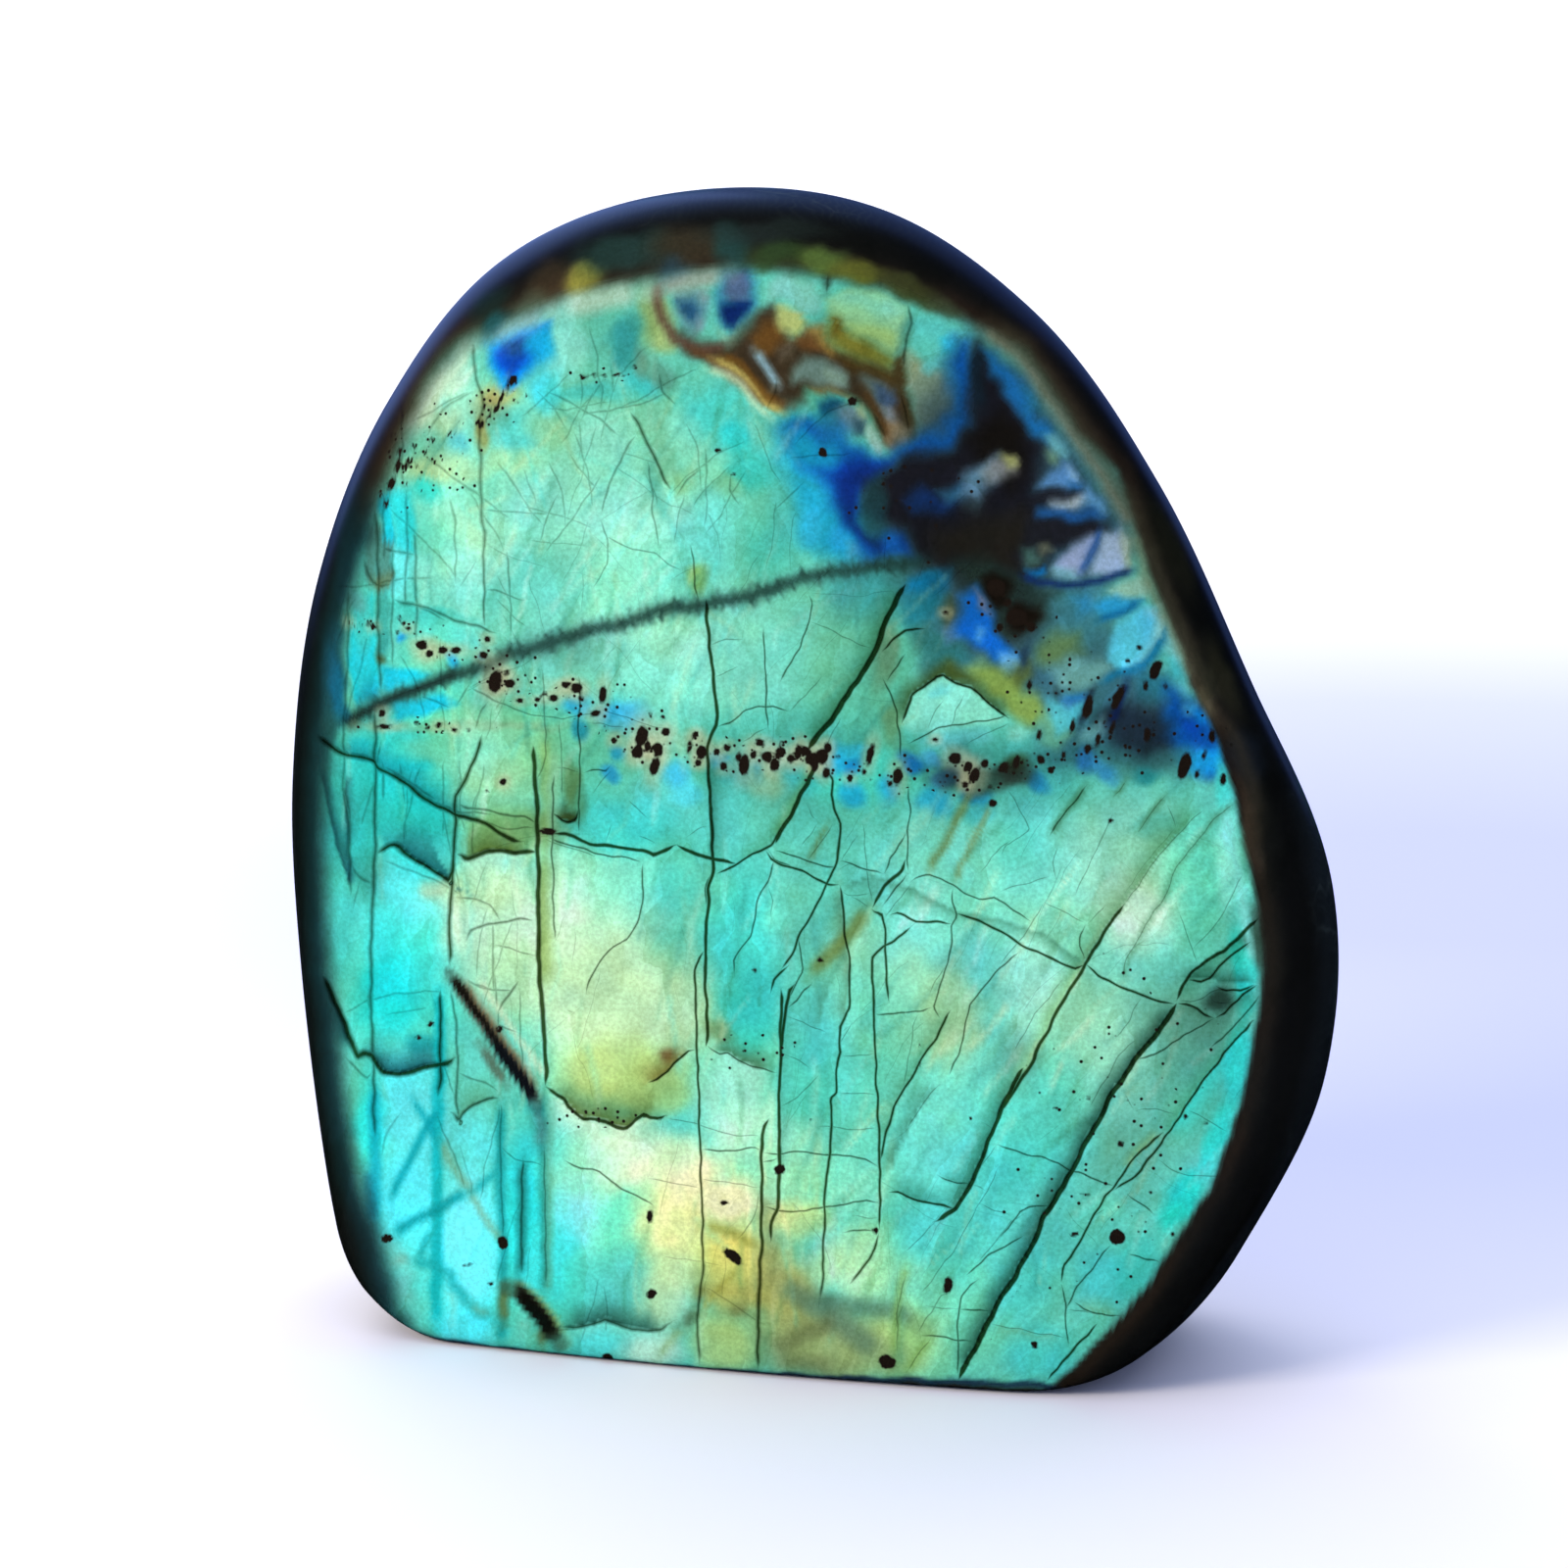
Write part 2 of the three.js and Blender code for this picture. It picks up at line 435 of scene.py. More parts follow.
def near_line(line, reach):
    """The seen points within reach of a line: which, how far, on which side, and where along."""
    low, high = line.min(axis=0) - reach, line.max(axis=0) + reach
    ids = np.flatnonzero(((seen_at > low) & (seen_at < high)).all(axis=1))
    start, run = line[:-1], np.diff(line, axis=0)
    length = np.hypot(*run.T)
    offset = seen_at[ids][:, None] - start
    share = np.clip((offset * run).sum(-1) / (length**2), 0, 1)
    gap = offset - share[..., None] * run
    distance = np.hypot(gap[..., 0], gap[..., 1])
    nearest = distance.argmin(axis=1)
    rows = np.arange(len(ids))
    turn = run[nearest, 0] * gap[rows, nearest, 1] - run[nearest, 1] * gap[rows, nearest, 0]
    gone = np.concatenate([[0], np.cumsum(length)])[nearest] + share[rows, nearest] * length[nearest]
    distance = distance[rows, nearest]
    keep = distance < reach
    return ids[keep], distance[keep], np.where(turn[keep] < 0, -1, 1), gone[keep], length.sum()


def dab(ids, strength, colour):
    """Moves the paint of these points towards a colour, each by its own share."""
    paint[ids] += strength[:, None] * (shade(colour) - paint[ids])


def turned(offset, degrees):
    """Offsets from a place, measured along the two axes of an oval that is turned this far."""
    c, s = math.cos(math.radians(degrees)), math.sin(math.radians(degrees))
    return offset[:, 0] * c + offset[:, 1] * s, offset[:, 1] * c - offset[:, 0] * s


def patch(colour, place, size, strength, turn=0.0):
    """A soft oval of colour that has faded to a half at the size given."""
    across, down = turned(loose_at - np.array(place), turn)
    out = np.hypot(across / size[0], down / size[1])
    ids = np.flatnonzero(out < 1.55)
    dab(ids, strength * smoothstep(-out[ids], -1.55, -0.45), colour)


def stroke(colour, text, half_width, soft, strength):
    """A line of colour that thins out at its two ends."""
    line = points_of(text)
    ids, distance, _, gone, total = near_line(line, half_width + soft)
    ends = np.clip(np.minimum(gone, total - gone) / (2 * half_width + 1), 0.35, 1)
    dab(ids, strength * ends * smoothstep(half_width + soft - distance, 0, 2 * soft), colour)


STEP_FADE = 1.4  # above 1, the shade drops off faster near its line


def step(colour, text, depth, strength):
    """Shade that starts hard on a line and fades out on the left of the line's run."""
    line = points_of(text)
    ids, distance, side, gone, total = near_line(line, abs(depth))
    ends = smoothstep(np.minimum(gone, total - gone), 0, min(abs(depth), total / 3))
    fade = (1 - distance / abs(depth)) ** STEP_FADE
    onside = smoothstep(-side * math.copysign(1, depth) * distance, -1.5, 1.5)
    dab(ids, strength * ends * fade * onside, colour)


# %% Read the tables
def pair_of(text):
    return tuple(float(part) for part in text.split(","))


def paint_patches(table):
    """Each line is a colour, a place, a size, a strength and, if it is turned, its angle."""
    rows = [line.split() for line in table.strip().splitlines()]
    for colour, place, size, *amounts in rows:
        patch(colour, pair_of(place), pair_of(size), *[float(amount) for amount in amounts])
    print(len(rows), "patches painted")


def paint_rows(table, brush, numbers):
    """Each line is a colour, as many numbers as the brush needs, and the places it runs through."""
    rows = [line.split(maxsplit=numbers + 1) for line in table.strip().splitlines()]
    for colour, *values, places in rows:
        brush(colour, places, *[float(value) for value in values])
    print(len(rows), "rows painted with the brush", brush.__name__)


# %% [markdown]
# ## The broad colours of the flash
# First come the broad fields. The layers in the stone vary slowly, so the colour drifts: aqua in
# the middle, mint and lime at the left of the middle, gold at the foot, cyan at the lower left.
# Each line of a table is a colour, a place, a size and a strength, and some end with a turn in
# degrees.

# %% Broad fields
FIELDS = """
seafoam 600,540 200,140 0.8
mint 640,470 120,70 0.7
seafoam 760,480 50,70 0.6
mint 615,510 80,50 0.7
#58CCBC 500,560 110,60 0.6
mint 650,680 100,50 0.8
seafoam 790,640 80,70 0.6
#58D0C4 690,570 60,30 0.5
#40CCC0 430,570 60,60 0.7
#30C8CC 440,600 50,40 0.4
#9CDCA0 500,770 80,50 0.9
mint 470,760 60,30 0.7
#88D8B0 640,760 60,30 0.4
cyan 400,820 55,80 0.95
#10C8D0 430,830 30,30 0.6
#88B860 520,845 45,22 0.6
#30A8A0 340,840 20,70 0.9
teal 372,840 14,60 0.7
#40C0B0 342,940 20,60 0.9
#3CE4DC 415,930 45,90 0.95
ice 420,900 40,40 0.5
#98C8A8 445,905 14,12 0.6
#B4EECC 510,945 50,75 1
#B8ECB0 530,1000 36,40 0.8
lime 490,905 40,24 0.5
#C0F2C4 600,960 60,90 1
#98F0D8 660,905 60,35 0.8
#40D4D0 630,840 60,28 0.8
#60E4D8 690,905 26,26 0.7
#C4F0B8 640,1030 90,60 1
#C0E488 625,1092 60,32 0.9
#A8CC70 670,1110 40,24 0.6
#60DCD0 740,835 26,40 0.8
#38D0C8 760,960 36,80 0.85
#30C8C0 765,1040 32,36 0.8
#70DCC0 790,810 24,30 0.7
#68D8C4 830,930 40,60 0.6
#9CD898 870,1000 30,60 0.5
#A0D490 925,1020 30,50 0.5
#78E0CC 950,860 60,50 0.5
#68DCC8 1030,900 70,60 0.5
#8CDCC4 1140,860 60,70 0.6
#A0DCC0 1165,930 40,36 0.8
#60D8D0 1060,870 36,40 0.5
#50D0B8 1222,900 30,60 0.7
#88F0E0 1050,1000 30,44 0.7
#A0D090 970,1040 28,50 0.75
#44D0CC 830,1100 36,56 0.7
#60E4DC 872,1115 22,36 0.6
#88ECDC 820,1165 30,24 0.7
#60E0D8 950,1150 50,60 0.6 20
#2CC4BC 1050,1150 60,90 0.6 25
#70DCC8 1130,1060 50,50 0.5
#60D8CC 1170,1120 60,40 0.5
#80ECD0 845,1205 55,24 0.8
#B4E49C 815,1245 36,20 0.8
#A4DC98 885,1290 40,40 0.9
#8CECD4 880,1225 26,20 0.5
#50DCD0 960,1260 60,50 0.7
#7CE0C0 935,1320 36,36 0.6
#9CD88C 920,1370 44,36 0.9
ice 420,1130 34,50 0.9
#58F0F4 425,1215 40,50 0.95
#60E8E4 480,1165 26,30 0.8
#7CF8FC 480,1270 30,70 1
#4CECF0 480,1350 34,24 0.9
#30DCD8 535,1230 22,70 0.9
#60F0F0 545,1290 10,50 0.6
#A0E8D0 590,1150 26,24 0.8
#98F0E0 585,1240 30,60 0.9
#50E8E4 570,1290 22,40 0.8
#CCF6D0 640,1180 50,30 0.95
#B4ECC4 600,1195 40,30 0.5
#58C8BC 625,1315 44,34 0.85
#C8EEB0 690,1240 36,60 0.95
#B8E8B8 680,1320 26,40 0.8
#D4F4C0 700,1190 36,24 0.7
#A4F4E0 745,1130 32,44 0.95
#B4F0C8 745,1225 30,20 0.9
#C4DC80 745,1290 36,40 0.95
#B8B860 745,1325 30,14 0.6
#B0DC8C 740,1370 32,30 0.95
gold 800,1320 36,40 0.85
#A4B068 840,1370 60,34 0.85
#90B070 880,1385 50,20 0.6
#B0D080 850,1290 20,20 0.5
#50D8D0 610,1370 40,14 0.8
#BCF2D4 665,1378 28,18 0.95
#58D4CC 1070,1250 36,50 0.6 20
#48DCE4 1045,1310 30,44 0.7 20
#5CD8C0 1110,1260 40,50 0.4 20
#40D4D8 1130,1305 30,26 0.6
#38D0C0 1160,1290 20,30 0.6 30
#44D4D0 1060,1380 36,26 0.8
#60D8C0 1120,1370 24,22 0.6
#14DCD0 1205,1225 16,26 0.8 20
#40F4E8 1243,1160 12,34 0.8 10
#30F0EC 1262,1085 12,36 0.8 10
#18DCCC 1268,990 12,40 0.8
#80F0DC 1252,880 10,50 0.9
"""
paint_patches(FIELDS)

# %% [markdown]
# ## Pools with a drawn outline
# Near the top the flash breaks up into pools that no oval can follow: blue ones, brown clouds
# and pale windows of mint. A pool is a closed outline with a soft border, and it gets a brush of
# its own. Each line is a colour, how soft its border is, a strength and the outline.

# %% The pool brush
def inside_outline(outline, places):
    """How far each place lies inside a closed outline, in pixels, negative outside."""
    closed = np.vstack([outline, outline[:1]])
    distance = np.full(len(places), 1e9)
    crossings = np.zeros(len(places), dtype=int)
    for (x0, y0), (x1, y1) in zip(closed[:-1], closed[1:]):
        run = np.array([x1 - x0, y1 - y0])
        offset = places - (x0, y0)
        share = np.clip(offset @ run / (run @ run), 0, 1)
        distance = np.minimum(distance, np.hypot(*(offset - share[:, None] * run).T))
        spans = (places[:, 1] < y0) != (places[:, 1] < y1)
        height = y1 - y0 if y1 != y0 else 1e-9
        cut = x0 + (places[:, 1] - y0) * (x1 - x0) / height
        crossings += spans & (places[:, 0] < cut)
    return np.where(crossings % 2 == 1, distance, -distance)


def pool(colour, text, soft, strength):
    """Fills a closed outline with colour, with a soft border."""
    outline = points_of(text)
    low, high = outline.min(axis=0) - 1.1 * soft, outline.max(axis=0) + 1.1 * soft
    ids = np.flatnonzero(((loose_at > low) & (loose_at < high)).all(axis=1))
    inside = inside_outline(outline, loose_at[ids])
    dab(ids, strength * smoothstep(inside, -soft * 1.1, soft * 1.1), colour)


# %% Upper left and top
UPPER_PATCHES = """
mint 460,405 34,28 0.9
#B4E8B4 455,430 16,14 0.6
#A8DC9C 450,480 40,16 0.7
#70D8C8 470,470 30,14 0.3
#C0D888 520,470 24,14 0.3
#50C8D0 466,452 12,11 0.9
#1FD5D0 438,504 14,11 0.9
#30D8D8 408,515 14,14 0.9
#B4C878 510,405 20,12 0.8
#8E8C40 492,443 7,14 0.7
#D0E8C8 470,385 16,8 0.5 -40
#90F4E0 580,355 20,26 0.8
#40DCE8 556,398 16,22 0.8
#36C8D0 530,440 26,18 0.5
#3EC8C8 600,402 40,10 0.6
#40D8E0 655,392 20,14 0.8 40
#30A8AC 637,348 16,28 0.85
#9CC070 667,322 15,30 0.85 -10
#A8CE80 680,350 10,14 0.8 -30
#68907A 655,370 8,16 0.6
#5A9A86 676,385 12,20 0.7 -30
#48DCD8 735,420 40,26 0.8
#28DCE0 750,450 18,16 0.8
#30DCD8 770,480 26,22 0.7
#98F4DC 685,440 26,20 0.7
#A4F4DC 620,450 34,26 0.8
#98F0D8 610,490 50,30 0.7
#A0F2D6 650,530 44,30 0.6
#7CBE94 675,460 12,34 0.5 -20
#90C888 695,490 18,12 0.5 -40
#86C48C 745,500 14,12 0.5 30
#A8DEA0 560,440 24,16 0.5
#70E6D8 740,540 40,34 0.7
#54E2D6 785,560 22,30 0.6
#9CF0D4 560,530 60,30 0.5
#A8ECC0 470,560 50,40 0.8
#98E8C4 450,540 26,36 0.5
#8CE0BC 620,570 60,30 0.4
#86EAD2 600,680 80,40 0.6
#8CEED4 690,690 50,40 0.6
#9EE8C4 700,650 30,30 0.5
#8CEED8 760,640 30,34 0.6
#7CEAD4 800,660 30,44 0.6
#8CEED6 780,700 30,20 0.5
#B8D890 718,590 12,14 0.3
#7EB45C 715,588 10,12 0.8
"""
paint_patches(UPPER_PATCHES)

TOP_POOLS = """
#5C98A0 7 0.9 690,300 715,296 728,304 726,322 718,338 706,345 692,338 683,322
#1C5078 6 0.9 690,306 706,308 716,322 712,332 700,330 690,320
#7098A0 5 0.8 712,326 722,330 718,342 708,344
#80A8A8 5 0.8 714,298 726,300 724,310 715,310
#2C88A8 7 0.9 734,276 760,272 774,286 774,312 762,334 748,342 737,330 732,300
#4E6488 5 0.9 738,280 756,276 768,288 766,304 748,306 738,300
#0A2868 5 1 738,312 756,306 768,308 762,322 752,335 742,332 737,322
#84D8B8 5 0.9 734,336 744,342 756,338 752,346 742,352 734,346
#3C3424 9 1 762,334 776,318 790,312 800,326 806,342 822,344 846,352 862,362 884,372 906,380 \
922,388 930,410 934,444 916,452 900,444 888,420 868,404 846,396 826,398 820,412 802,418 780,410 \
764,396 744,382 722,368 700,358 688,346 694,344 716,352 740,354
#6A4E20 7 0.9 762,346 780,330 800,330 802,344 784,356 770,362
#5E5A48 6 0.8 786,354 806,346 818,352 806,366 792,366
#B4CC78 5 0.95 795,316 818,318 822,330 812,338 798,336 790,328
#9C8440 6 0.9 822,330 838,328 846,346 856,366 846,366 832,352 822,342
#74542C 6 0.9 806,342 822,334 834,346 838,360 822,358
#6E9898 7 0.95 806,374 824,364 842,370 862,380 868,392 852,396 826,390 808,394
#8CB8AC 5 0.8 842,380 860,382 866,392 850,392
#8A7040 5 0.7 828,396 846,394 862,398 870,408 856,404 836,402
#40B0B0 5 0.9 832,408 846,400 862,408 862,416 846,408 836,418
#0C507C 6 0.95 836,412 848,406 860,414 856,428 842,432 834,424
#5E88A0 6 0.95 852,424 868,414 884,424 880,440 864,446 852,438
#94C0A8 4 0.9 874,418 884,414 884,428 876,430
#2C5468 5 0.9 870,432 884,430 882,444 872,444
#94CCC4 4 0.95 882,434 890,430 902,450 896,456 884,450
#66888C 7 0.9 876,382 896,384 914,392 912,410 904,426 896,414 884,396
#3A5A84 6 0.9 892,392 912,392 920,406 912,414 898,410
#7C94A4 5 0.9 898,412 914,414 918,428 906,430
#968A68 5 0.9 902,428 918,428 930,440 926,454 912,456 902,444
#86A894 7 1 924,372 944,366 962,376 972,396 972,424 960,438 942,446 934,436 932,410 924,392
#9EB48C 7 0.7 924,366 936,360 940,376 930,388
#68DCE0 5 0.9 944,362 960,356 962,368 948,382 940,378
#80D8C8 6 1 784,290 806,284 836,286 842,300 838,314 818,318 800,308 786,304
#94DCA4 6 1 848,300 872,292 902,298 926,312 928,330 918,352 908,362 884,346 862,334 850,318
#80DCC0 6 0.8 852,300 880,298 910,308 922,320 900,322 868,312
#ACDC84 6 0.8 868,330 900,330 914,342 908,354 886,346 868,340
#7E7A22 8 0.9 846,318 858,322 864,338 886,350 906,362 914,372 896,374 872,366 852,354 842,336
#50400E 5 0.7 850,322 856,324 856,344 850,344
#4E401C 6 0.9 852,360 880,368 908,376 922,362 924,388 908,392 884,382 860,376
#5CD4C4 7 1 932,330 948,322 968,332 978,346 974,362 958,358 944,368 932,366 928,348
#3CE0F4 5 0.9 960,350 974,346 974,360 962,362
#4E8A70 6 0.6 926,326 934,322 932,344 922,360 916,352
#127C88 6 0.9 492,330 516,314 524,322 510,340 496,348
#0A9CF0 6 1 496,352 516,342 548,330 562,326 562,344 552,366 536,384 524,398 510,396 502,380
#0A58D8 5 1 506,360 524,346 550,334 552,350 540,368 528,380 518,386 508,374
#1E5088 6 0.9 514,350 536,342 546,346 534,364 522,368
#0A40A8 5 0.8 514,368 532,364 526,380 518,384
#12D8EE 3 0.95 362,602 383,602 386,640 388,700 380,714 362,722 357,700 357,650
#44AEA4 2.5 0.95 387,601 399,598 400,676 388,677
#4A8C7E 3 0.95 374,535 400,540 400,596 386,599 378,594 372,580
#76804E 5 0.7 380,588 400,584 400,597 386,599
#14D0E4 3 0.9 388,512 400,508 400,555 388,553
#2CDCDC 4 0.8 402,512 422,510 422,564 402,558
#6EE8DC 3 0.8 402,562 421,568 421,614 402,610
#10CCEA 4 0.9 389,680 436,688 425,698 400,706 390,702
#68E8DC 4 0.8 424,640 456,640 490,650 500,660 470,664 440,656 424,650
#90ECD0 4 0.7 424,568 490,560 492,634 470,630 440,620 424,614
#20D8E8 4 0.9 356,756 381,758 381,774 354,770
#18D8E0 5 0.8 386,760 400,758 440,776 420,786 400,786 388,780
#12B8D8 4 0.9 400,716 430,708 450,706 470,716 440,728 404,736
"""
paint_rows(TOP_POOLS, pool, 2)

# %% [markdown]
# ## The dark blue and brown cloud at the upper right
# This is the least regular part of the stone: a nearly black cloud with cobalt edges, where the
# layers are too thin or too broken to flash, and lavender-grey windows at its right.

# %% Upper right
CLOUD_POOLS = """
#2E4A58 26 0.95 880,500 960,400 1000,345 1050,380 1100,450 1150,520 1160,560 1100,620 1180,700 \
1230,740 1240,780 1150,770 1080,770 1060,720 1000,690 950,690 940,620 900,560
#3C7880 24 0.8 1060,600 1120,600 1180,690 1120,760 1060,760 1050,660
#50C8C4 22 0.7 790,420 830,430 840,480 850,560 810,585 780,540 780,470
#1EB0D8 14 0.95 794,438 806,424 832,422 860,448 880,460 884,566 864,572 842,568 824,558 818,530 \
808,500 798,470
#34C4F0 7 0.9 820,520 836,518 842,545 836,560 824,556
#2CB8F0 6 0.9 848,538 862,540 862,560 850,562
#6CC8DC 5 0.8 862,556 874,556 874,566 864,568
#0C58B0 12 1 802,438 826,428 850,440 870,454 905,462 935,450 962,440 972,420 970,395 966,370 \
976,346 988,346 992,370 988,400 986,430 976,452 945,468 915,470 892,482 878,502 872,532 880,548 \
920,545 932,566 905,574 880,572 866,545 848,512 836,488 814,472
#18A0D0 8 0.8 806,448 822,438 832,446 824,462 810,464
#0A3C9C 9 0.9 856,462 884,464 884,480 866,492 850,484
#0C2A74 10 0.95 852,488 878,470 906,470 892,488 878,508 876,532 892,546 918,548 922,562 892,564 \
872,546 858,520
#1468C0 7 0.8 896,540 912,540 916,562 900,570
#1A1B22 12 1 985,398 998,352 1008,362 1026,396 1042,416 1060,440 1068,462 1058,482 1054,500 \
1075,504 1094,500 1098,506 1062,524 1100,526 1120,530 1118,542 1090,550 1070,560 1062,580 1046,592 \
1062,612 1060,630 1040,646 1020,642 1000,612 982,592 958,578 930,566 930,556 922,542 896,536 \
884,520 884,500 898,482 920,468 950,464 976,454 986,430
#14120E 14 0.9 990,440 1020,420 1050,440 1050,470 1030,500 1000,470
#24211A 14 0.85 950,545 990,535 1040,520 1060,545 1040,580 990,575 960,570
#20241C 10 0.7 880,490 900,486 900,520 884,524
#12326A 10 0.85 924,512 944,500 966,506 976,500 982,514 960,524 930,522
#2A6484 8 0.8 960,500 984,490 984,512 966,512
#6490AC 9 0.95 980,504 986,486 1002,474 1018,468 1012,486 1006,502 996,514
#8C9088 7 0.8 1002,484 1012,472 1034,468 1036,480 1022,488 1008,494
#98A060 5 0.9 1020,466 1034,464 1036,474 1026,478
#3A5258 9 0.6 980,512 1000,514 996,526 982,524
#1870B0 8 0.95 1004,356 1016,360 1036,386 1052,404 1062,428 1078,440 1076,456 1060,446 1044,424 \
1028,404 1010,380
#2C7A88 8 0.7 1040,396 1056,402 1064,420 1052,422
#6CB8BC 6 0.95 1070,446 1080,444 1092,462 1088,472 1076,466
#74A484 5 0.8 1068,462 1080,466 1078,476 1068,472
#5890C0 7 0.95 1058,496 1070,482 1084,474 1098,482 1102,494 1086,500 1066,502
#9CC8D8 5 0.7 1086,478 1098,480 1098,488 1088,488
#2C74B0 6 0.8 1088,490 1102,492 1100,500 1088,500
#20242C 6 0.9 1060,504 1090,500 1104,500 1094,508 1070,514 1050,516
#A8BCC0 6 0.95 1072,516 1090,508 1110,500 1116,508 1100,516 1082,522
#5A98C0 7 0.9 1108,490 1122,506 1130,522 1118,528 1104,518
#1C5A9C 6 0.9 1060,522 1090,518 1112,520 1126,526 1114,531 1084,530 1058,532
#1E2026 6 1 1048,534 1084,533 1116,532 1126,538 1116,547 1094,548 1070,556 1058,574 1046,586 1034,562
#94A8C8 7 1 1074,584 1080,566 1094,554 1112,546 1120,548 1112,566 1104,586 1092,592 1078,592
#74B8C0 6 0.8 1072,584 1092,586 1100,596 1076,594
#A0BCD4 7 1 1126,544 1140,538 1148,548 1152,570 1150,582 1130,588 1110,590 1117,568
#C0CCA8 7 0.8 1144,540 1154,550 1158,576 1150,582 1148,560
#4C7C70 8 0.8 1042,556 1056,556 1062,570 1048,576
#7C8468 5 0.7 1060,552 1070,552 1072,562 1062,564
#0C78C8 5 0.95 1048,578 1062,578 1064,588 1052,590
#3C8088 12 0.85 1060,604 1090,600 1112,604 1126,630 1120,650 1098,656 1076,650 1068,632
#5A7C48 11 0.9 1060,662 1080,646 1100,646 1106,664 1090,676 1070,682 1056,676
#6CAAA0 9 0.9 1074,686 1090,672 1122,670 1138,682 1124,694 1098,700 1078,700
#2A8CB8 8 0.8 1092,612 1108,608 1116,622 1100,628
#A0D8BC 6 1 1126,602 1146,592 1166,586 1174,598 1170,608 1150,612 1130,610
#28A0D0 6 0.95 1116,616 1136,606 1166,612 1152,620 1134,628 1122,624
#5CD8F0 7 1 1150,628 1168,618 1184,620 1190,636 1184,656 1172,672 1160,680 1142,685 1132,672 \
1136,650 1142,636
#48C8C8 7 0.95 1190,640 1200,650 1206,670 1214,692 1206,702 1190,694 1188,668
#70D8D0 6 0.8 1196,700 1214,700 1214,712 1200,712
#2A8090 8 0.8 1160,690 1186,690 1196,704 1182,716 1160,712
#22342E 12 0.9 972,574 1010,568 1050,588 1078,610 1072,638 1050,652 1020,656 1004,640 996,612 984,598
#17120C 6 1 1002,592 1014,584 1030,588 1036,600 1028,613 1014,616 1004,606
#17120C 6 1 1026,622 1040,613 1062,620 1068,628 1056,640 1040,647 1028,640
#0E8CC0 9 0.95 928,590 946,582 956,586 950,602 936,608 926,602
#0A6C98 10 0.8 944,582 972,584 968,606 950,612
#188098 12 0.8 924,610 950,604 966,612 950,634 932,640 922,626
#2C7A74 13 0.85 934,644 960,636 980,650 990,676 964,688 940,676
#48502C 8 0.8 956,620 972,612 976,626 966,638
#0A64C4 8 1 982,612 998,602 1008,616 1012,640 1022,656 1036,668 1034,682 1010,678 998,666 \
984,654 972,644 978,624
#5484B0 7 0.7 960,640 974,634 978,650 966,656
#4898D0 5 0.9 996,640 1004,644 1002,660 996,656
#68B4E0 6 0.9 1016,668 1034,666 1040,678 1022,684
#74788C 5 0.8 996,604 1008,612 1008,628 998,620
#4C5E28 9 0.95 950,690 966,674 984,688 1000,694 994,704 972,702 958,694
#88A84C 9 0.95 984,684 1010,680 1040,684 1046,704 1062,712 1068,728 1056,742 1036,734 1020,714 998,702
#5C6C2C 7 0.7 1030,676 1046,670 1052,690 1040,700
#74BC90 8 0.8 1060,728 1076,716 1092,730 1096,750 1080,766 1062,756
#88E8D0 5 1 922,742 930,716 945,701 960,690 975,698 992,702 1004,712 1014,726 1028,734 1010,739 \
985,743 960,746 940,756
#56CCD4 5 0.8 948,702 960,692 972,700 966,708 952,710
#74DCD8 6 0.8 944,758 966,746 1010,742 1012,752 980,762 956,762
#88E4C8 5 1 1026,741 1042,738 1056,748 1042,758 1026,752
#50C4D4 6 0.8 1070,712 1100,706 1110,716 1096,740 1080,748 1068,728
#2C64A0 5 0.9 1082,712 1102,706 1110,710 1090,718
#141820 10 0.9 1118,734 1132,726 1150,716 1154,736 1140,748 1122,746
#202E38 14 0.9 1136,740 1160,716 1188,722 1200,740 1206,764 1180,774 1140,768
#0C5CB0 10 1 1186,700 1210,712 1228,716 1238,736 1246,764 1252,790 1230,796 1206,776 1196,748 \
1188,722
#0A50C8 6 0.9 1206,736 1222,738 1226,760 1216,768 1206,750
#58B8E0 5 0.9 1206,718 1222,716 1218,728 1208,730
#1098F0 6 0.95 1212,722 1232,724 1234,736 1222,738
#10A8F8 6 1 1224,766 1248,764 1252,778 1236,786 1222,780
#2A5A60 12 0.6 1050,772 1110,760 1200,772 1196,784 1110,788 1050,784
#7EB8B4 8 0.8 1108,746 1124,738 1130,752 1116,766 1104,762
"""
paint_rows(CLOUD_POOLS, pool, 2)

# %% [markdown]
# ## Sky-blue spots round the needles
# Thin dark needles of iron oxide lie in rows. Round them the layers are disturbed as well, and
# the flash turns sky blue or sandy, so these small patches come before the needles themselves.

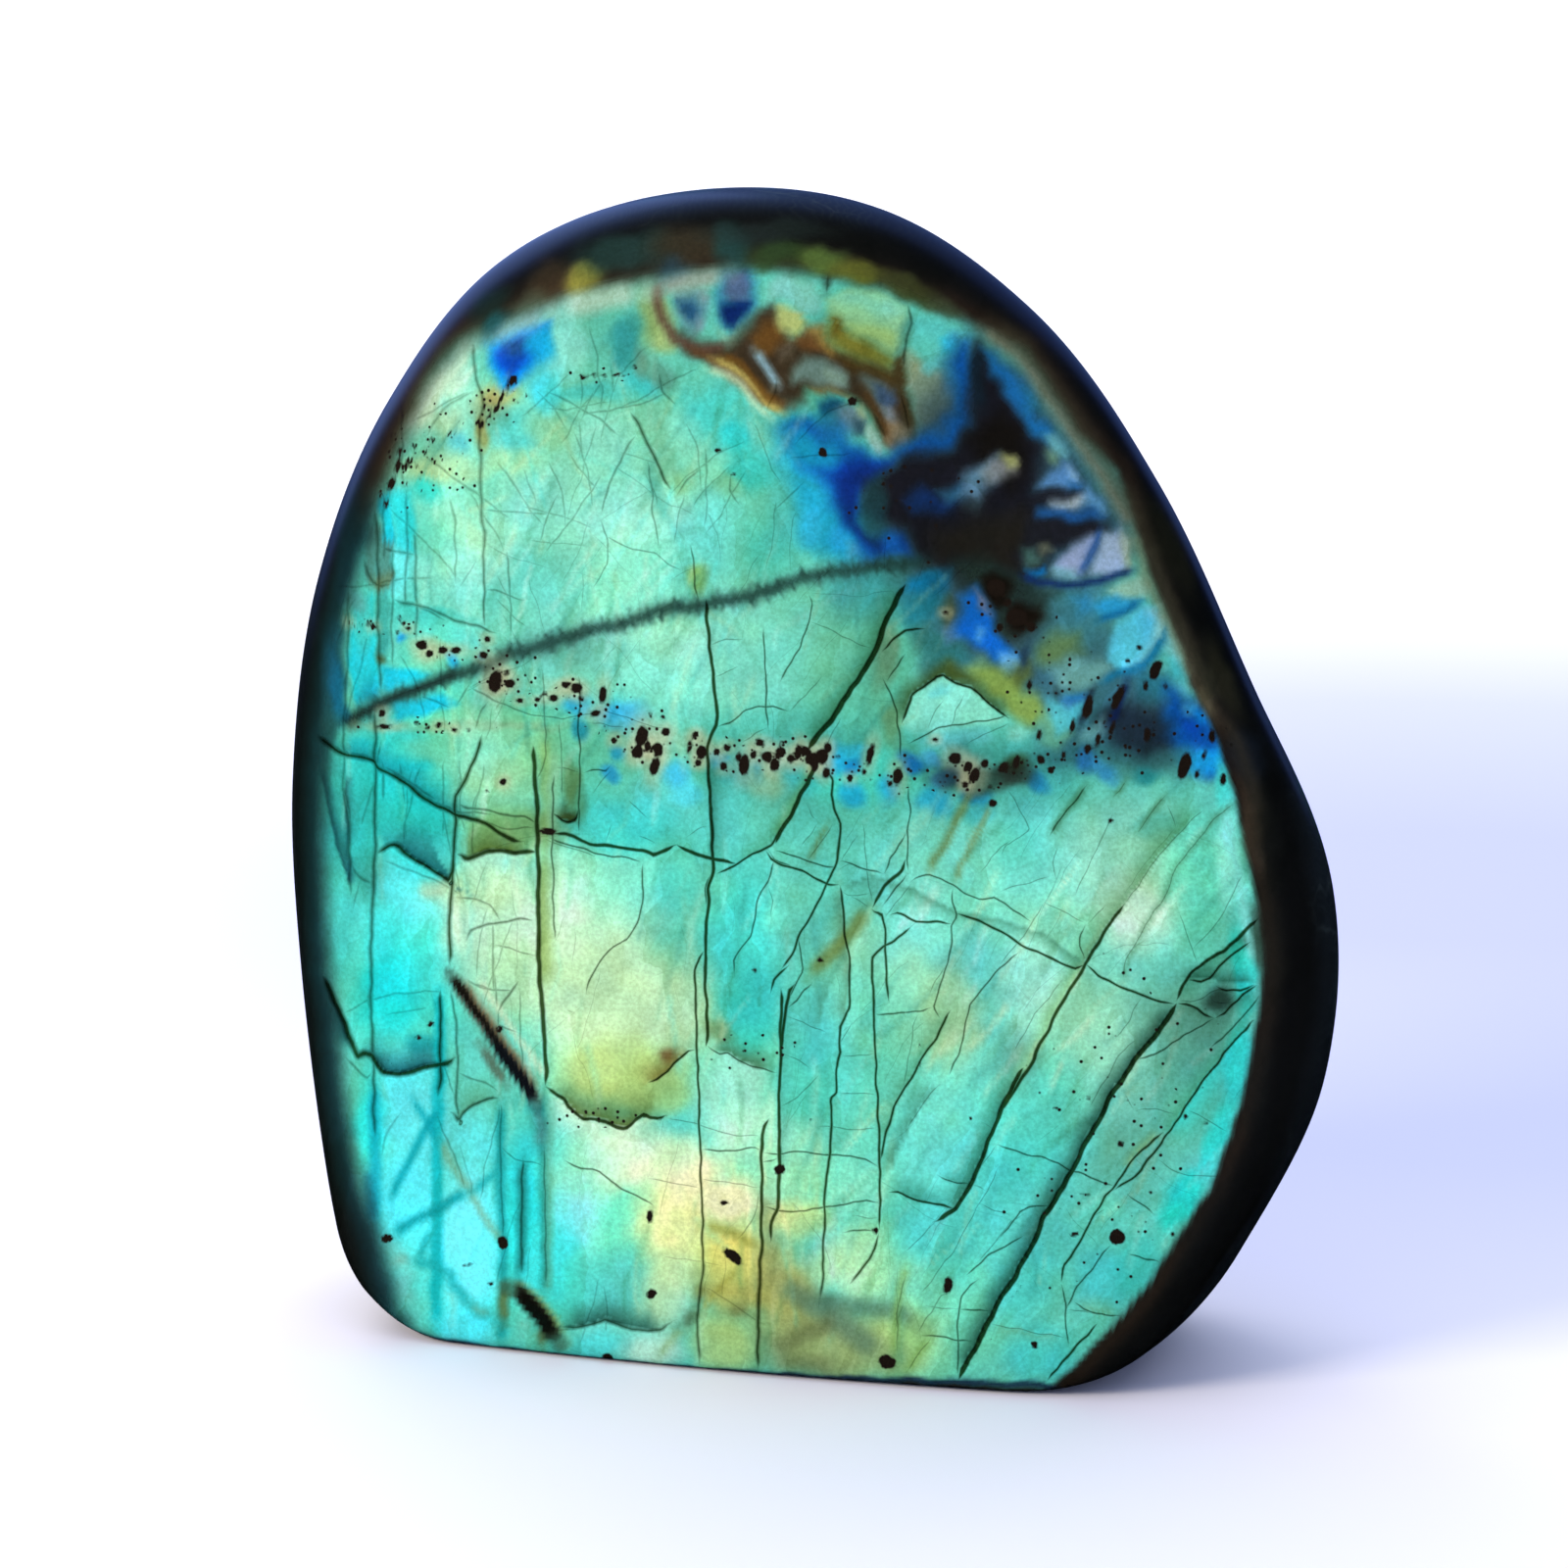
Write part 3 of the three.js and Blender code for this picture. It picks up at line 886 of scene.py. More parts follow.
# %% Patches in the rows of needles
NEEDLE_PATCHES = """
#2AD8E8 371,682 12,36 0.8
#3CB0A8 393,638 6,38 0.7
#5A6A40 393,673 6,5 0.8
#A8C8A0 437,670 16,16 0.7
#78D8B8 450,765 46,11 0.7
#20A8E8 412,650 5,5 0.9
#18B0F0 459,675 7,6 0.9
#1A70B0 493,668 5,4 0.9
#A8987C 506,694 13,15 0.7
#6A4A30 356,741 10,9 0.6
#9CB890 480,742 100,5 0.5
#20B0F0 588,720 15,11 0.7
#48C0F0 636,732 24,15 0.8
#1890B0 591,745 8,12 0.8
#C8C8A0 578,704 26,10 0.5 20
#98B8A0 655,755 30,22 0.4
#1898C8 630,770 9,8 0.8
#20A0E0 622,788 9,7 0.8
#40C8F0 690,790 14,12 0.8
#50E0F0 700,810 16,14 0.7
#B0B890 710,760 20,16 0.5
#18B8F0 733,775 8,7 0.8
#10A8D8 771,790 7,12 0.8
#30B8E0 800,785 60,24 0.35
#B8C890 780,800 20,16 0.6
#28B8F0 855,777 16,14 0.9
#1080C8 872,780 7,10 0.8
#18B0E0 870,811 13,12 0.8
#20B0E8 905,806 11,14 0.8
#1080D8 931,781 11,10 0.9
#50B8E8 950,776 9,8 0.8
#3A90D8 957,795 10,8 0.8
#2A88D0 970,790 9,8 0.8
#28C0E8 950,815 15,12 0.8
#1090C0 990,808 10,9 0.8
#30C0E8 1005,812 9,8 0.8
#3A4A20 1034,780 14,10 0.8
#2878B8 1110,780 12,10 0.8
#3898D0 1130,790 12,9 0.8
#1890C8 1060,800 11,9 0.8
#189098 1170,790 14,9 0.7
#30C0E8 870,765 12,7 0.7
#2080D0 925,772 12,7 0.7
#60D0F0 945,770 10,6 0.7
#4CC8B8 372,630 14,34 0.8
#5AA8A0 366,612 10,12 0.8
#18B8E8 550,352 12,18 0.9
#18A8C0 836,462 24,14 0.7
#1C4C58 892,520 12,34 0.6
#1870B0 850,440 16,10 0.6
#5C7A44 732,1050 16,9 0.6 20
#6A7A50 903,665 13,34 0.5 10
#3A3420 1008,795 44,13 0.6
#28201A 1035,790 20,12 0.6
#3C4838 965,790 24,14 0.4
#1C2C3C 1165,745 34,20 0.5
#A8F4E4 1195,650 12,30 0.6 -20
#58E8D8 1215,770 16,12 0.3
#4CF0DC 1246,800 10,26 0.8
#84FCE8 1257,868 8,42 1.0 -8
#78F8E4 1270,926 8,26 0.95 -8
#44F4DC 1274,985 9,20 0.9
#38F0DC 1264,1080 8,44 0.7 8
#30F0DC 1240,1165 9,44 0.7 16
#28ECD4 1205,1230 9,34 0.7 30
#0AD0D0 392,1015 30,36 0.7
#10989A 430,1067 20,10 0.7 20
#4A8A60 590,822 12,20 0.7
#5A6E30 582,800 9,22 0.6
#7C8A48 912,740 12,24 0.5
#24B4D4 960,820 12,12 0.6
#38BCC4 1000,832 16,12 0.6
#48BCB0 1180,842 20,14 0.6
#1E3C30 1240,1022 16,10 0.8
#A0DCA8 520,790 16,18 0.6
#6A4A30 682,1077 9,7 0.8
#1CB0E4 1224,778 14,13 0.75
#0C68C4 1206,752 16,10 0.5
"""
paint_patches(NEEDLE_PATCHES)

# %% [markdown]
# ## Faint streaks
# The flash is never flat. Fine cleavage inside the stone leaves hundreds of faint light and dark
# streaks, upright at the left and slanting more and more towards the right. Each is one weak
# stroke with a seeded place and lean, and slow ripples vary the brightness and the hue as well.

# %% Streaks
# How many, where (centre and reach), their lean from upright in degrees, and how much it varies.
STREAK_FIELDS = [
    (110, (610, 520), (200, 130), 12, 34), (90, (740, 680), (220, 100), 22, 24),
    (60, (440, 900), (110, 330), 2, 5), (120, (660, 1100), (200, 280), 4, 12),
    (150, (1060, 1040), (210, 230), 34, 9), (60, (1000, 1240), (200, 140), 32, 14),
]
dice = np.random.default_rng(21)
streak_count = 0
for count, middle, reach, lean, spread in STREAK_FIELDS:
    for _ in range(count):
        root = np.array(middle) + np.array(reach) * dice.uniform(-1, 1, 2)
        turn = math.radians(dice.normal(lean, spread))
        half_run = dice.uniform(12, 50) * np.array([math.sin(turn), -math.cos(turn)])
        bend = root + dice.normal(0, 3, 2)
        places = " ".join(f"{x},{y}" for x, y in (root - half_run, bend, root + half_run))
        tint = dice.choice(["#1E7468", "#2C7C50", "#DCFFE8", "#E4F8C0", "#58F0E8"])
        stroke(tint, places, half_width=dice.uniform(0.6, 3), strength=dice.uniform(0.1, 0.3),
               soft=dice.uniform(2, 4))
        streak_count += 1
brightness = 1 + 0.025 * ripple(seen_exact, 34, 11) + 0.02 * ripple(seen_exact, 13, 12)
hue = 0.02 * ripple(seen_exact, 55, 13) + 0.015 * ripple(seen_exact, 20, 14)
paint = paint * brightness[:, None] + hue[:, None] * np.array([0.7, 0.1, -0.8]) * paint
print(streak_count, "streaks")

# %% [markdown]
# ## Dodge and burn
# A printer in a darkroom holds light back from one part of a picture and lets more fall on
# another. This pass does the same with the flash. Each line is a place, a size and how much the
# red, the green and the blue are raised or lowered there, in hundredths.

# %% Dodge and burn
TONES = """
640,330 230,50 -4 -9 -11
655,1230 45,40 10 4 0
765,1110 30,30 -9 -3 0
1110,1070 60,70 9 2 2
380,1150 26,90 -4 7 9
870,400 110,60 -10 -14 -19
650,450 110,60 -13 -6 -9
415,440 50,60 -5 -12 -14
790,530 50,70 -14 -9 -14
990,560 60,60 -16 -12 -15
420,730 50,90 -10 -4 -7
590,740 110,60 -16 -4 -6
860,785 140,50 -22 -11 -11
1010,790 70,40 -28 -18 -16
1107,780 60,50 -18 -6 -4
880,670 50,60 -5 -9 -15
655,890 70,50 -16 -2 -5
410,1020 55,60 -24 5 6
405,1125 50,40 -16 -7 -7
415,850 50,40 -4 -7 -12
1090,900 130,70 22 7 3
1000,1060 70,110 20 7 2
1115,1070 90,120 36 6 -2
650,1230 80,100 18 7 0
765,1180 60,130 20 6 -6
880,1180 60,110 11 6 0
1000,1340 70,60 18 9 2
880,1345 60,50 13 9 7
1225,890 50,70 14 6 1
1235,1040 40,40 6 -8 -13
1225,1130 40,40 -10 -6 -11
415,1290 50,60 -6 5 6
540,1290 50,70 -4 5 5
760,930 40,50 24 9 6
765,1200 46,70 30 8 8
650,600 50,60 20 13 13
470,500 40,50 22 8 2
930,960 40,60 30 14 18
1040,862 26,24 -18 -7 -9
860,1290 34,34 8 12 28
885,600 40,34 -34 -20 -10
740,780 26,16 -22 -8 -3
980,780 24,16 -26 -22 -18
560,842 24,16 -20 -24 -28
380,895 16,26 -20 -22 -26
378,1145 14,40 -40 16 22
382,1320 18,34 -50 -36 -30
740,1140 34,34 -18 -4 0
690,1170 40,40 -10 0 8
560,920 50,60 17 14 14
575,1080 50,50 12 7 6
442,945 26,44 34 4 0
875,792 50,24 0 18 18
1160,960 44,40 8 10 18
890,1020 60,34 -9 6 14
1215,1055 50,60 -20 -16 -13
1158,1165 40,54 -18 -15 -15
1042,1082 20,30 -18 -22 -20
975,1165 80,70 16 9 12
555,1255 70,100 -18 8 12
440,1290 34,50 0 11 17
862,545 30,26 -22 -12 -14
575,662 54,20 -22 -18 -18
440,700 30,50 0 14 12
380,722 16,24 -24 -20 -16
500,422 18,18 0 -24 -34
620,720 20,16 -28 0 14
440,545 26,24 -26 -3 0
1005,1015 50,60 -15 -7 0
"""


def tone(place, size, gains):
    """Raises or lowers each channel over a soft oval, most in its middle."""
    out = np.hypot(*((loose_at - np.array(place)) / np.array(size)).T)
    share = smoothstep(-out, -1.7, -0.3)
    paint[:] = paint * (1 + share[:, None] * np.array(gains) / 100)


tones = [line.split() for line in TONES.strip().splitlines()]
for place, size, *gains in tones:
    tone(pair_of(place), pair_of(size), [float(gain) for gain in gains])
print(len(tones), "tones changed")

# %% [markdown]
# ## Shade along the steps in the cleavage
# Inside the stone the cleavage breaks off in steps, like the edges of stacked glass plates. The
# eye sees each step as a line with shade on one side that fades away, and often a bright rim on
# the other. In these tables a step is a colour, its depth in pixels, a strength and the line.
# A positive depth shades the left of the line's run, which is above a line that runs right.

# %% Steps
STEPS = """
#0C5A5E 46 0.95 384,873 388,868 398,861 408,866 422,878 440,887 450,894 457,899 462,890 463,872
#30E8E0 -26 0.7 384,873 388,868 398,861 408,866 422,878 440,887 450,894 457,899
#4A641E 44 0.95 464,872 472,873 477,877 485,873 495,869 510,868 525,869 549,870
#C0F4C8 -24 0.7 464,872 472,873 477,877 485,873 495,869 510,868 525,869 549,870
#0A4C54 34 0.95 362,1072 372,1074 380,1076 385,1085 392,1094 405,1096 422,1093 435,1088 448,1085 465,1078
#50F0F0 -30 0.7 372,1074 380,1076 385,1085 392,1094 405,1096 422,1093 435,1088 448,1085 465,1078
#4A8A64 26 0.7 458,1135 463,1137 468,1144 473,1135 482,1128 495,1123 509,1120
#4E6424 44 0.9 552,1104 556,1108 565,1115 575,1122 580,1130 590,1137 598,1142 608,1142 618,1145 \
628,1149 638,1152 645,1146 650,1141 657,1138 663,1142 673,1142 680,1137
#DCFAD4 -28 0.8 556,1108 565,1115 580,1130 598,1142 618,1145 638,1152 650,1141 673,1142 680,1137
#7A6A28 26 0.8 652,1112 660,1105 672,1098 682,1092 690,1083 697,1077 703,1072 710,1071
#2E5A34 24 0.75 722,1067 728,1072 743,1074 750,1078 758,1083 775,1091 793,1094
#B0F8E4 -26 0.6 722,1067 728,1072 743,1074 750,1078 758,1083 775,1091 793,1094
#303C14 60 0.95 563,829 570,833 575,838 580,840 587,836 590,825
#2A6A44 -26 0.75 925,595 915,612 902,640 895,662 885,678 865,710 843,740 825,765
#5E8A3C -16 0.6 835,765 825,800 815,815 805,835 797,850 790,862
#3E8048 -28 0.65 1230,825 1210,842 1195,858 1178,880 1162,903 1148,922 1130,945 1108,983 1092,1010
#A4DC94 -20 0.75 1110,985 1092,1010 1070,1050 1055,1080 1040,1105 1022,1135
#236A54 -24 0.8 1045,1090 1025,1125 1017,1145 1003,1180 990,1208 975,1233 965,1240
#123E30 -24 0.9 1200,1025 1180,1057 1158,1082 1145,1100 1132,1120 1122,1140 1107,1167 1100,1183 \
1087,1207 1073,1230 1058,1262 1045,1285 1035,1305 1020,1325 1010,1345 1003,1362 993,1380 980,1405
#60E8E0 20 0.5 1145,1100 1122,1140 1100,1183 1073,1230 1045,1285 1020,1325 1003,1362
#30F4EC 30 0.7 1280,1040 1260,1060 1240,1088 1220,1115 1203,1140 1187,1162
#3A9A70 -16 0.6 1280,1040 1260,1060 1240,1088 1220,1115 1203,1140 1187,1162
#2E8A78 22 0.7 905,1217 918,1217 930,1222 945,1227 958,1230 972,1232
#2E8A78 16 0.6 955,1198 965,1204 975,1207 990,1208
#4E9C70 -18 0.6 970,1030 955,1060 935,1090 920,1115 908,1145 900,1170
#2E4418 20 0.85 921,738 930,710 945,697 962,688 975,698 990,702 1010,718 1030,735
#88E8C8 -30 0.8 921,738 930,710 945,697 962,688 975,698 990,702 1010,718 1030,735
#1E4E42 30 0.9 566,1356 590,1354 605,1352 618,1347 632,1352 645,1357 660,1358 675,1356 685,1350
#88F0DC -20 0.6 566,1356 590,1354 605,1352 618,1347 632,1352 645,1357 660,1358 675,1356 685,1350
#A0D0C8 -14 0.6 1165,615 1188,630 1185,650 1165,680 1145,688
#1478A8 12 0.7 1188,630 1185,650 1178,665 1165,680 1150,687 1140,688
#206858 -18 0.6 722,880 724,860 725,830 724,800 722,770
#3A8A58 18 0.5 749,878 760,877 780,866 796,850 805,832
#309080 20 0.5 803,1012 801,1035 797,1075 795,1105 796,1150 796,1200
#5E8430 -22 0.6 551,1015 550,950 549,900 549,870
#0A3C44 12 0.9 326,780 331,805 336,830 342,855 350,885 358,905
#0E4A54 -9 0.8 356,905 352,870 352,830 354,790
#0A4048 -26 0.9 330,995 340,1018 350,1040 357,1060 365,1076
#0E6C70 24 0.6 322,750 345,766 382,776 415,800 455,827 495,842
#2E7A58 22 0.6 1285,935 1260,960 1235,978 1215,993 1200,1022
#1E5A44 18 0.8 1200,1000 1212,1000 1235,998 1260,1004 1284,1002
#3A7058 -16 0.7 1200,1025 1222,1028 1240,1040 1258,1024 1280,1006
#2E7058 -22 0.6 960,1105 940,1130 925,1155 903,1200
#3E8A6C -24 0.6 905,895 880,935 862,975 845,1010 832,1060
#2E6A4C -14 0.5 855,905 890,893 930,905 975,930 1020,938 1065,952 1108,984
#4A7A58 -18 0.6 857,904 862,955 868,985 866,1015 862,1038 856,1048
#74B080 -18 0.5 1010,1350 1025,1355 1045,1357 1070,1362 1088,1367
#70B080 22 0.6 1095,1327 1105,1337 1120,1341 1145,1343
#8AB878 14 0.8 1148,1195 1163,1177 1187,1155
"""
paint_rows(STEPS, step, 2)

# %% [markdown]
# ## Soft lines and bands
# Cracks that lie deep in the stone look blurred. They are broad soft strokes: a colour, half the
# width, how soft the edge is, a strength and the line.

# %% Soft lines
SOFT_LINES = """
#5A4234 5 5 0.85 672,284 670,306 676,326 688,346 706,354 728,355 746,350
#5A3E24 5 4 0.85 700,357 722,364 740,376 756,390 774,402 792,412 808,416
#8CB8C4 4 4 0.85 768,356 782,374 796,396
#2E4838 4 5 0.8 850,256 846,272 844,300
#3A3018 5 4 0.8 918,358 916,376 920,398 926,420 932,442
#4A3418 4 4 0.8 880,396 890,412 898,430 908,450
#14222C 6 5 0.9 1000,350 996,372 998,400 1002,420
#28589A 3 4 0.9 1124,538 1118,554 1110,570 1102,586
#102A60 3 4 0.95 1042,586 1058,593 1080,597 1104,596 1126,591 1146,585 1158,581
#0C6CA4 3 4 0.9 1120,634 1136,628 1152,622 1166,613
#0E78A4 3 4 0.9 1187,648 1180,662 1168,676 1152,684 1136,688 1124,696
#B4A858 4 3 0.9 725,365 745,372 760,385 775,400 790,415 800,422
#6A4A1A 4 3 0.8 735,362 755,370 770,388 785,404 797,412
#C8E8B8 4 4 0.7 720,375 742,382 757,395 772,412 788,426
#1E3A50 4 3 0.8 1050,655 1045,670 1042,685
#2078B0 3 3 0.8 1085,715 1110,710
#1A2E3C 3 2 0.8 1118,700 1110,715 1105,730 1100,742
#0E1E44 4 3 0.9 1150,695 1145,710 1138,730 1130,740
#1A2A30 3 3 0.8 1175,745 1170,760 1168,775
#1A2A30 4 3 0.8 1078,700 1078,715
#4AA890 6 5 0.5 660,460 668,500 680,530
#A0B850 5 4 0.35 556,750 557,850 556,950 557,1000
#A0D0A0 6 5 0.4 565,760 565,850 565,950
#6A7A30 7 6 0.7 890,925 880,935 870,950 860,960 845,975 835,985 825,1000
#6A8040 4 4 0.7 948,890 955,875 965,860 975,840 985,820 990,805
#7A9050 3 3 0.6 975,900 980,885 990,865 1000,845 1010,825
#5A7A40 3 3 0.6 845,840 825,880
#3A7A50 4 3 0.6 1110,800 1100,812 1090,825 1080,840 1070,853
#4A8A60 3 3 0.6 1150,795 1135,815
#4A8A60 3 3 0.6 1190,810 1175,830 1160,850
#4A8A60 3 3 0.5 1260,820 1240,835 1225,855 1210,872 1200,885 1185,920 1165,950 1145,1000
#00A8C0 6 5 0.7 382,1105 383,1180 382,1255
#0E6A80 5 5 0.6 374,1190 380,1250
#00B8BC 6 4 0.8 448,1010 449,1085 447,1120 446,1200 446,1355
#10A0A0 5 4 0.8 511,1125 511,1200 513,1260 513,1372
#188078 5 4 0.8 532,1180 533,1250 532,1305
#1C8C80 4 4 0.7 554,1110 555,1200 555,1320
#60B090 4 4 0.6 562,1120 561,1200 559,1320
#7AB08A 4 4 0.7 448,1160 463,1190 480,1217 492,1240 505,1258 513,1268
#00A0A8 4 4 0.8 420,1120 430,1135 440,1150 447,1165
#00A0A8 4 4 0.8 450,1130 437,1148 425,1170 415,1190 405,1210 398,1225
#08A0A4 5 5 0.9 480,1217 465,1223 450,1232 440,1238 425,1245 410,1252 400,1262
#10A8A8 4 4 0.7 480,1217 495,1205 510,1195
#18B4B4 4 4 0.8 440,1255 432,1275 425,1285
#18B4B4 5 5 0.8 418,1285 440,1290 458,1300 462,1312 475,1325 488,1338 506,1346
#6AB898 4 5 0.7 478,1328 490,1338 505,1342
#8AA890 9 8 0.7 400,1272 410,1288 416,1300
#6AA8A0 8 8 0.5 402,1295 412,1318 424,1338
#10A0A4 7 8 0.5 530,1125 548,1135 552,1170
#56806C 12 10 0.65 790,1302 810,1318 835,1332 850,1345 870,1360 890,1375 905,1388
#4E7A64 9 8 0.65 825,1330 858,1330 885,1335 910,1337 925,1345 940,1354
#66764C 9 9 0.65 780,1366 800,1372 820,1362 840,1355 862,1342
#6A7448 8 8 0.5 780,1388 820,1392 860,1396
#A4A848 5 5 0.7 716,1250 730,1252 745,1257 760,1265 775,1273
#6E7440 6 7 0.7 735,1338 755,1337 770,1341
#6A6A28 8 8 0.6 712,1300 716,1315 712,1335
#3E5A3A 6 6 0.7 712,1330 704,1345 692,1356
#A0A040 3 4 0.6 752,1295 740,1308 725,1325 718,1340
#8A8A4A 10 10 0.5 782,1210 784,1260 786,1300
#8AB478 4 4 0.6 700,1357 690,1362 680,1372 672,1385
#5AC0B8 5 6 0.5 645,1362 636,1385
#6A7A40 5 4 0.8 514,1312 513,1330 515,1352
#5A6030 5 4 0.7 552,1350 554,1378
#8CC0A0 8 7 0.7 532,1340 536,1362
#4AA888 6 6 0.4 916,1300 916,1400
#90B048 4 5 0.5 925,1290 914,1340 912,1385
#7AA848 4 5 0.5 950,1365 935,1385 925,1402
"""
paint_rows(SOFT_LINES, stroke, 3)

# %% [markdown]
# ## Two dark blades and a feather
# At the lower left two thin dark blades lie inside the stone, each with a brownish fringe. A
# healed crack crosses the face as a soft feather of fine hairs. The feather is one dark band
# with several hundred short hairs drawn across it, all from one seeded dice.

# %% Blades and feather
BLADE_LINES = """
#8C7A58 8 5 0.65 462,998 485,1026 515,1070 540,1105 548,1118
#4A3A28 5 3 0.6 488,1064 503,1086 518,1108
#7A6444 2.5 2.5 0.8 474,1006 498,1042 528,1082 549,1118
#DCF0C8 3 3 0.7 488,1000 512,1034 540,1074 556,1098
#16140E 5 2 1 459,992 470,1010 485,1032 500,1055 515,1078
#7C8478 0.6 1.2 0.7 468,1014 486,1040 502,1066 516,1086 532,1104
#0E1216 6.5 2 1 500,1055 515,1078 530,1097 540,1112 548,1131
#60706C 5 7 0.5 548,1130 552,1150 553,1175
#9AA050 9 4 0.7 516,1314 532,1316 548,1332 566,1356 575,1370
#16120C 8 3 1 516,1314 530,1318 540,1328 552,1344 562,1358 571,1372
#0E1410 6 2 1 532,1322 545,1338 556,1352 566,1364
"""
paint_rows(BLADE_LINES, stroke, 3)

FEATHER = """345,738 380,722 400,712 425,704 450,692 480,684 500,677 520,668 545,661 560,657
580,649 600,642 620,641 640,634 660,627 680,621 700,620 720,616 740,613 760,609 780,604 800,595
820,590 840,585 870,581 900,577 945,574"""
FEATHER_COLOUR = "#1E3C36"
HAIRS = 420

stroke("#40807A", FEATHER, 10, 9, 0.35)
stroke(FEATHER_COLOUR, FEATHER, 5, 5, 0.75)
stroke("#141E1C", "348,738 380,722 412,708 430,701 470,688", 3, 3, 0.7)
spine = points_of(FEATHER)
spine_length = np.concatenate([[0], np.cumsum(np.hypot(*np.diff(spine, axis=0).T))])
dice = np.random.default_rng(7)
for _ in range(HAIRS):
    place = dice.uniform(0, spine_length[-1])
    root = np.array([np.interp(place, spine_length, spine[:, k]) for k in range(2)])
    lean = math.radians(dice.uniform(50, 130))
    reach = dice.uniform(5, 15) * dice.choice([-1, 1])
    tip = root + reach * np.array([math.cos(lean), math.sin(lean)])
    hair = f"{root[0]},{root[1]} {tip[0]},{tip[1]}"
    stroke(FEATHER_COLOUR, hair, 0.8, 2.2, dice.uniform(0.3, 0.8))
print(HAIRS, "hairs on the feather")

# %% [markdown]
# ## Where the flash ends
# The flash shows only where the layers lie square to the eye. Towards the rim the polished
# surface curves away and the stone turns black with a thin brown and olive fringe. The border is
# one closed line, and the colour fades across it, more softly at the left and the top.

# %% Border of the flash
FLASH_BORDER = """
418,440 430,410 440,390 450,375 460,362 470,352 490,340 520,327 540,319 560,311 580,304 600,298
620,294 640,290 670,283 700,279 750,273 800,276 850,282 900,292 950,312 1000,335 1045,360 1068,392
1100,440 1140,480 1160,545 1175,590 1190,625 1205,660 1215,700 1230,725 1245,760 1262,819
1270,860 1278,900 1285,932 1290,985 1286,1020 1278,1070 1270,1110 1258,1150 1247,1180 1235,1212
1222,1232 1205,1257 1190,1281 1178,1300 1163,1320 1148,1340 1130,1358 1112,1377 1095,1395 1078,1410
1065,1417
1020,1415 960,1411 900,1409 840,1406 780,1403 720,1400 660,1396 600,1391 540,1385 500,1381
452,1373 424,1360 406,1335 397,1300 388,1262 378,1235 366,1200 358,1160 349,1100 345,1040
337,990 334,950 332,900 330,860 331,800 336,740 342,690 350,640 358,612 366,580 380,548
390,505 402,470
"""

border = inside_outline(points_of(FLASH_BORDER), seen_at)
# The photograph is sharp at the right and soft at the left and the top.
border_blur = 4 + 10 * smoothstep(-seen_at[:, 0], -700, -380)
border_blur += 8 * smoothstep(-seen_at[:, 1], -560, -330)
in_flash = smoothstep(border / border_blur, -1, 1)
fringe = np.exp(-((border + 9) / (8 + border_blur / 2)) ** 2)
brownness = np.maximum(smoothstep(seen_at[:, 0], 500, 800), smoothstep(-seen_at[:, 1], -560, -460))
fringe_colour = shade("#0E3034") + brownness[:, None] * (shade("bark") - shade("#0E3034"))
rim_colour = shade("soot") + fringe[:, None] * (fringe_colour - shade("soot"))
paint = rim_colour + in_flash[:, None] * (paint - rim_colour)
print("share of the seen points in the flash:", round(float(in_flash.mean()), 3))

# %% [markdown]
# ## Glow, stain and painted reflections outside the border
# A little of the flash still shows past its border: a gold spot and a dim teal and brown glow at
# the top, and dull brown at the right. Where the polished edge turns away, a reflection of the
# room is painted on it as a pale veil: whitish at the upper left, beige down the upper right.

# %% Rim patches
RIM_PATCHES = """
#8A8A30 594,284 19,15 0.95 -10
#6C7430 606,280 16,10 0.6
#5A7A60 540,306 16,9 0.4 -30
#244440 640,258 50,20 0.8 -8
#383220 706,250 40,20 0.85
#1C4A48 745,250 18,24 0.8
#20506A 690,275 16,12 0.5
#2E4A22 792,262 30,14 0.85
#5A7A30 840,266 24,12 0.85 4
#6C7420 878,276 24,10 0.85 14
#40481E 925,294 34,11 0.85 26
#3E4A2C 965,312 20,9 0.7 26
#243430 780,236 60,14 0.6
#4A3C24 560,286 24,18 0.5 -40
#14302C 500,312 14,22 0.6 50
#18585C 508,330 14,9 0.7 -40
#0E4A5C 340,690 12,50 0.85 4
#0C6C94 342,706 8,34 0.7
#123C40 330,760 9,30 0.6
#0C2A30 352,560 9,60 0.6 8
#2A2A16 1195,560 14,50 0.6 -25
#35331C 1246,690 12,40 0.7 -22
#5A4A32 1278,850 9,44 0.6 -10
#2E2C1C 1286,950 9,40 0.6 -4
#141E2A 1274,770 18,26 0.7 -20
#20241A 1292,860 12,60 0.4 -6
#20241A 1300,980 12,60 0.4
#1A201C 1285,1100 12,50 0.4 12
#161C1C 1228,1250 10,60 0.4 32
"""
paint_patches(RIM_PATCHES)
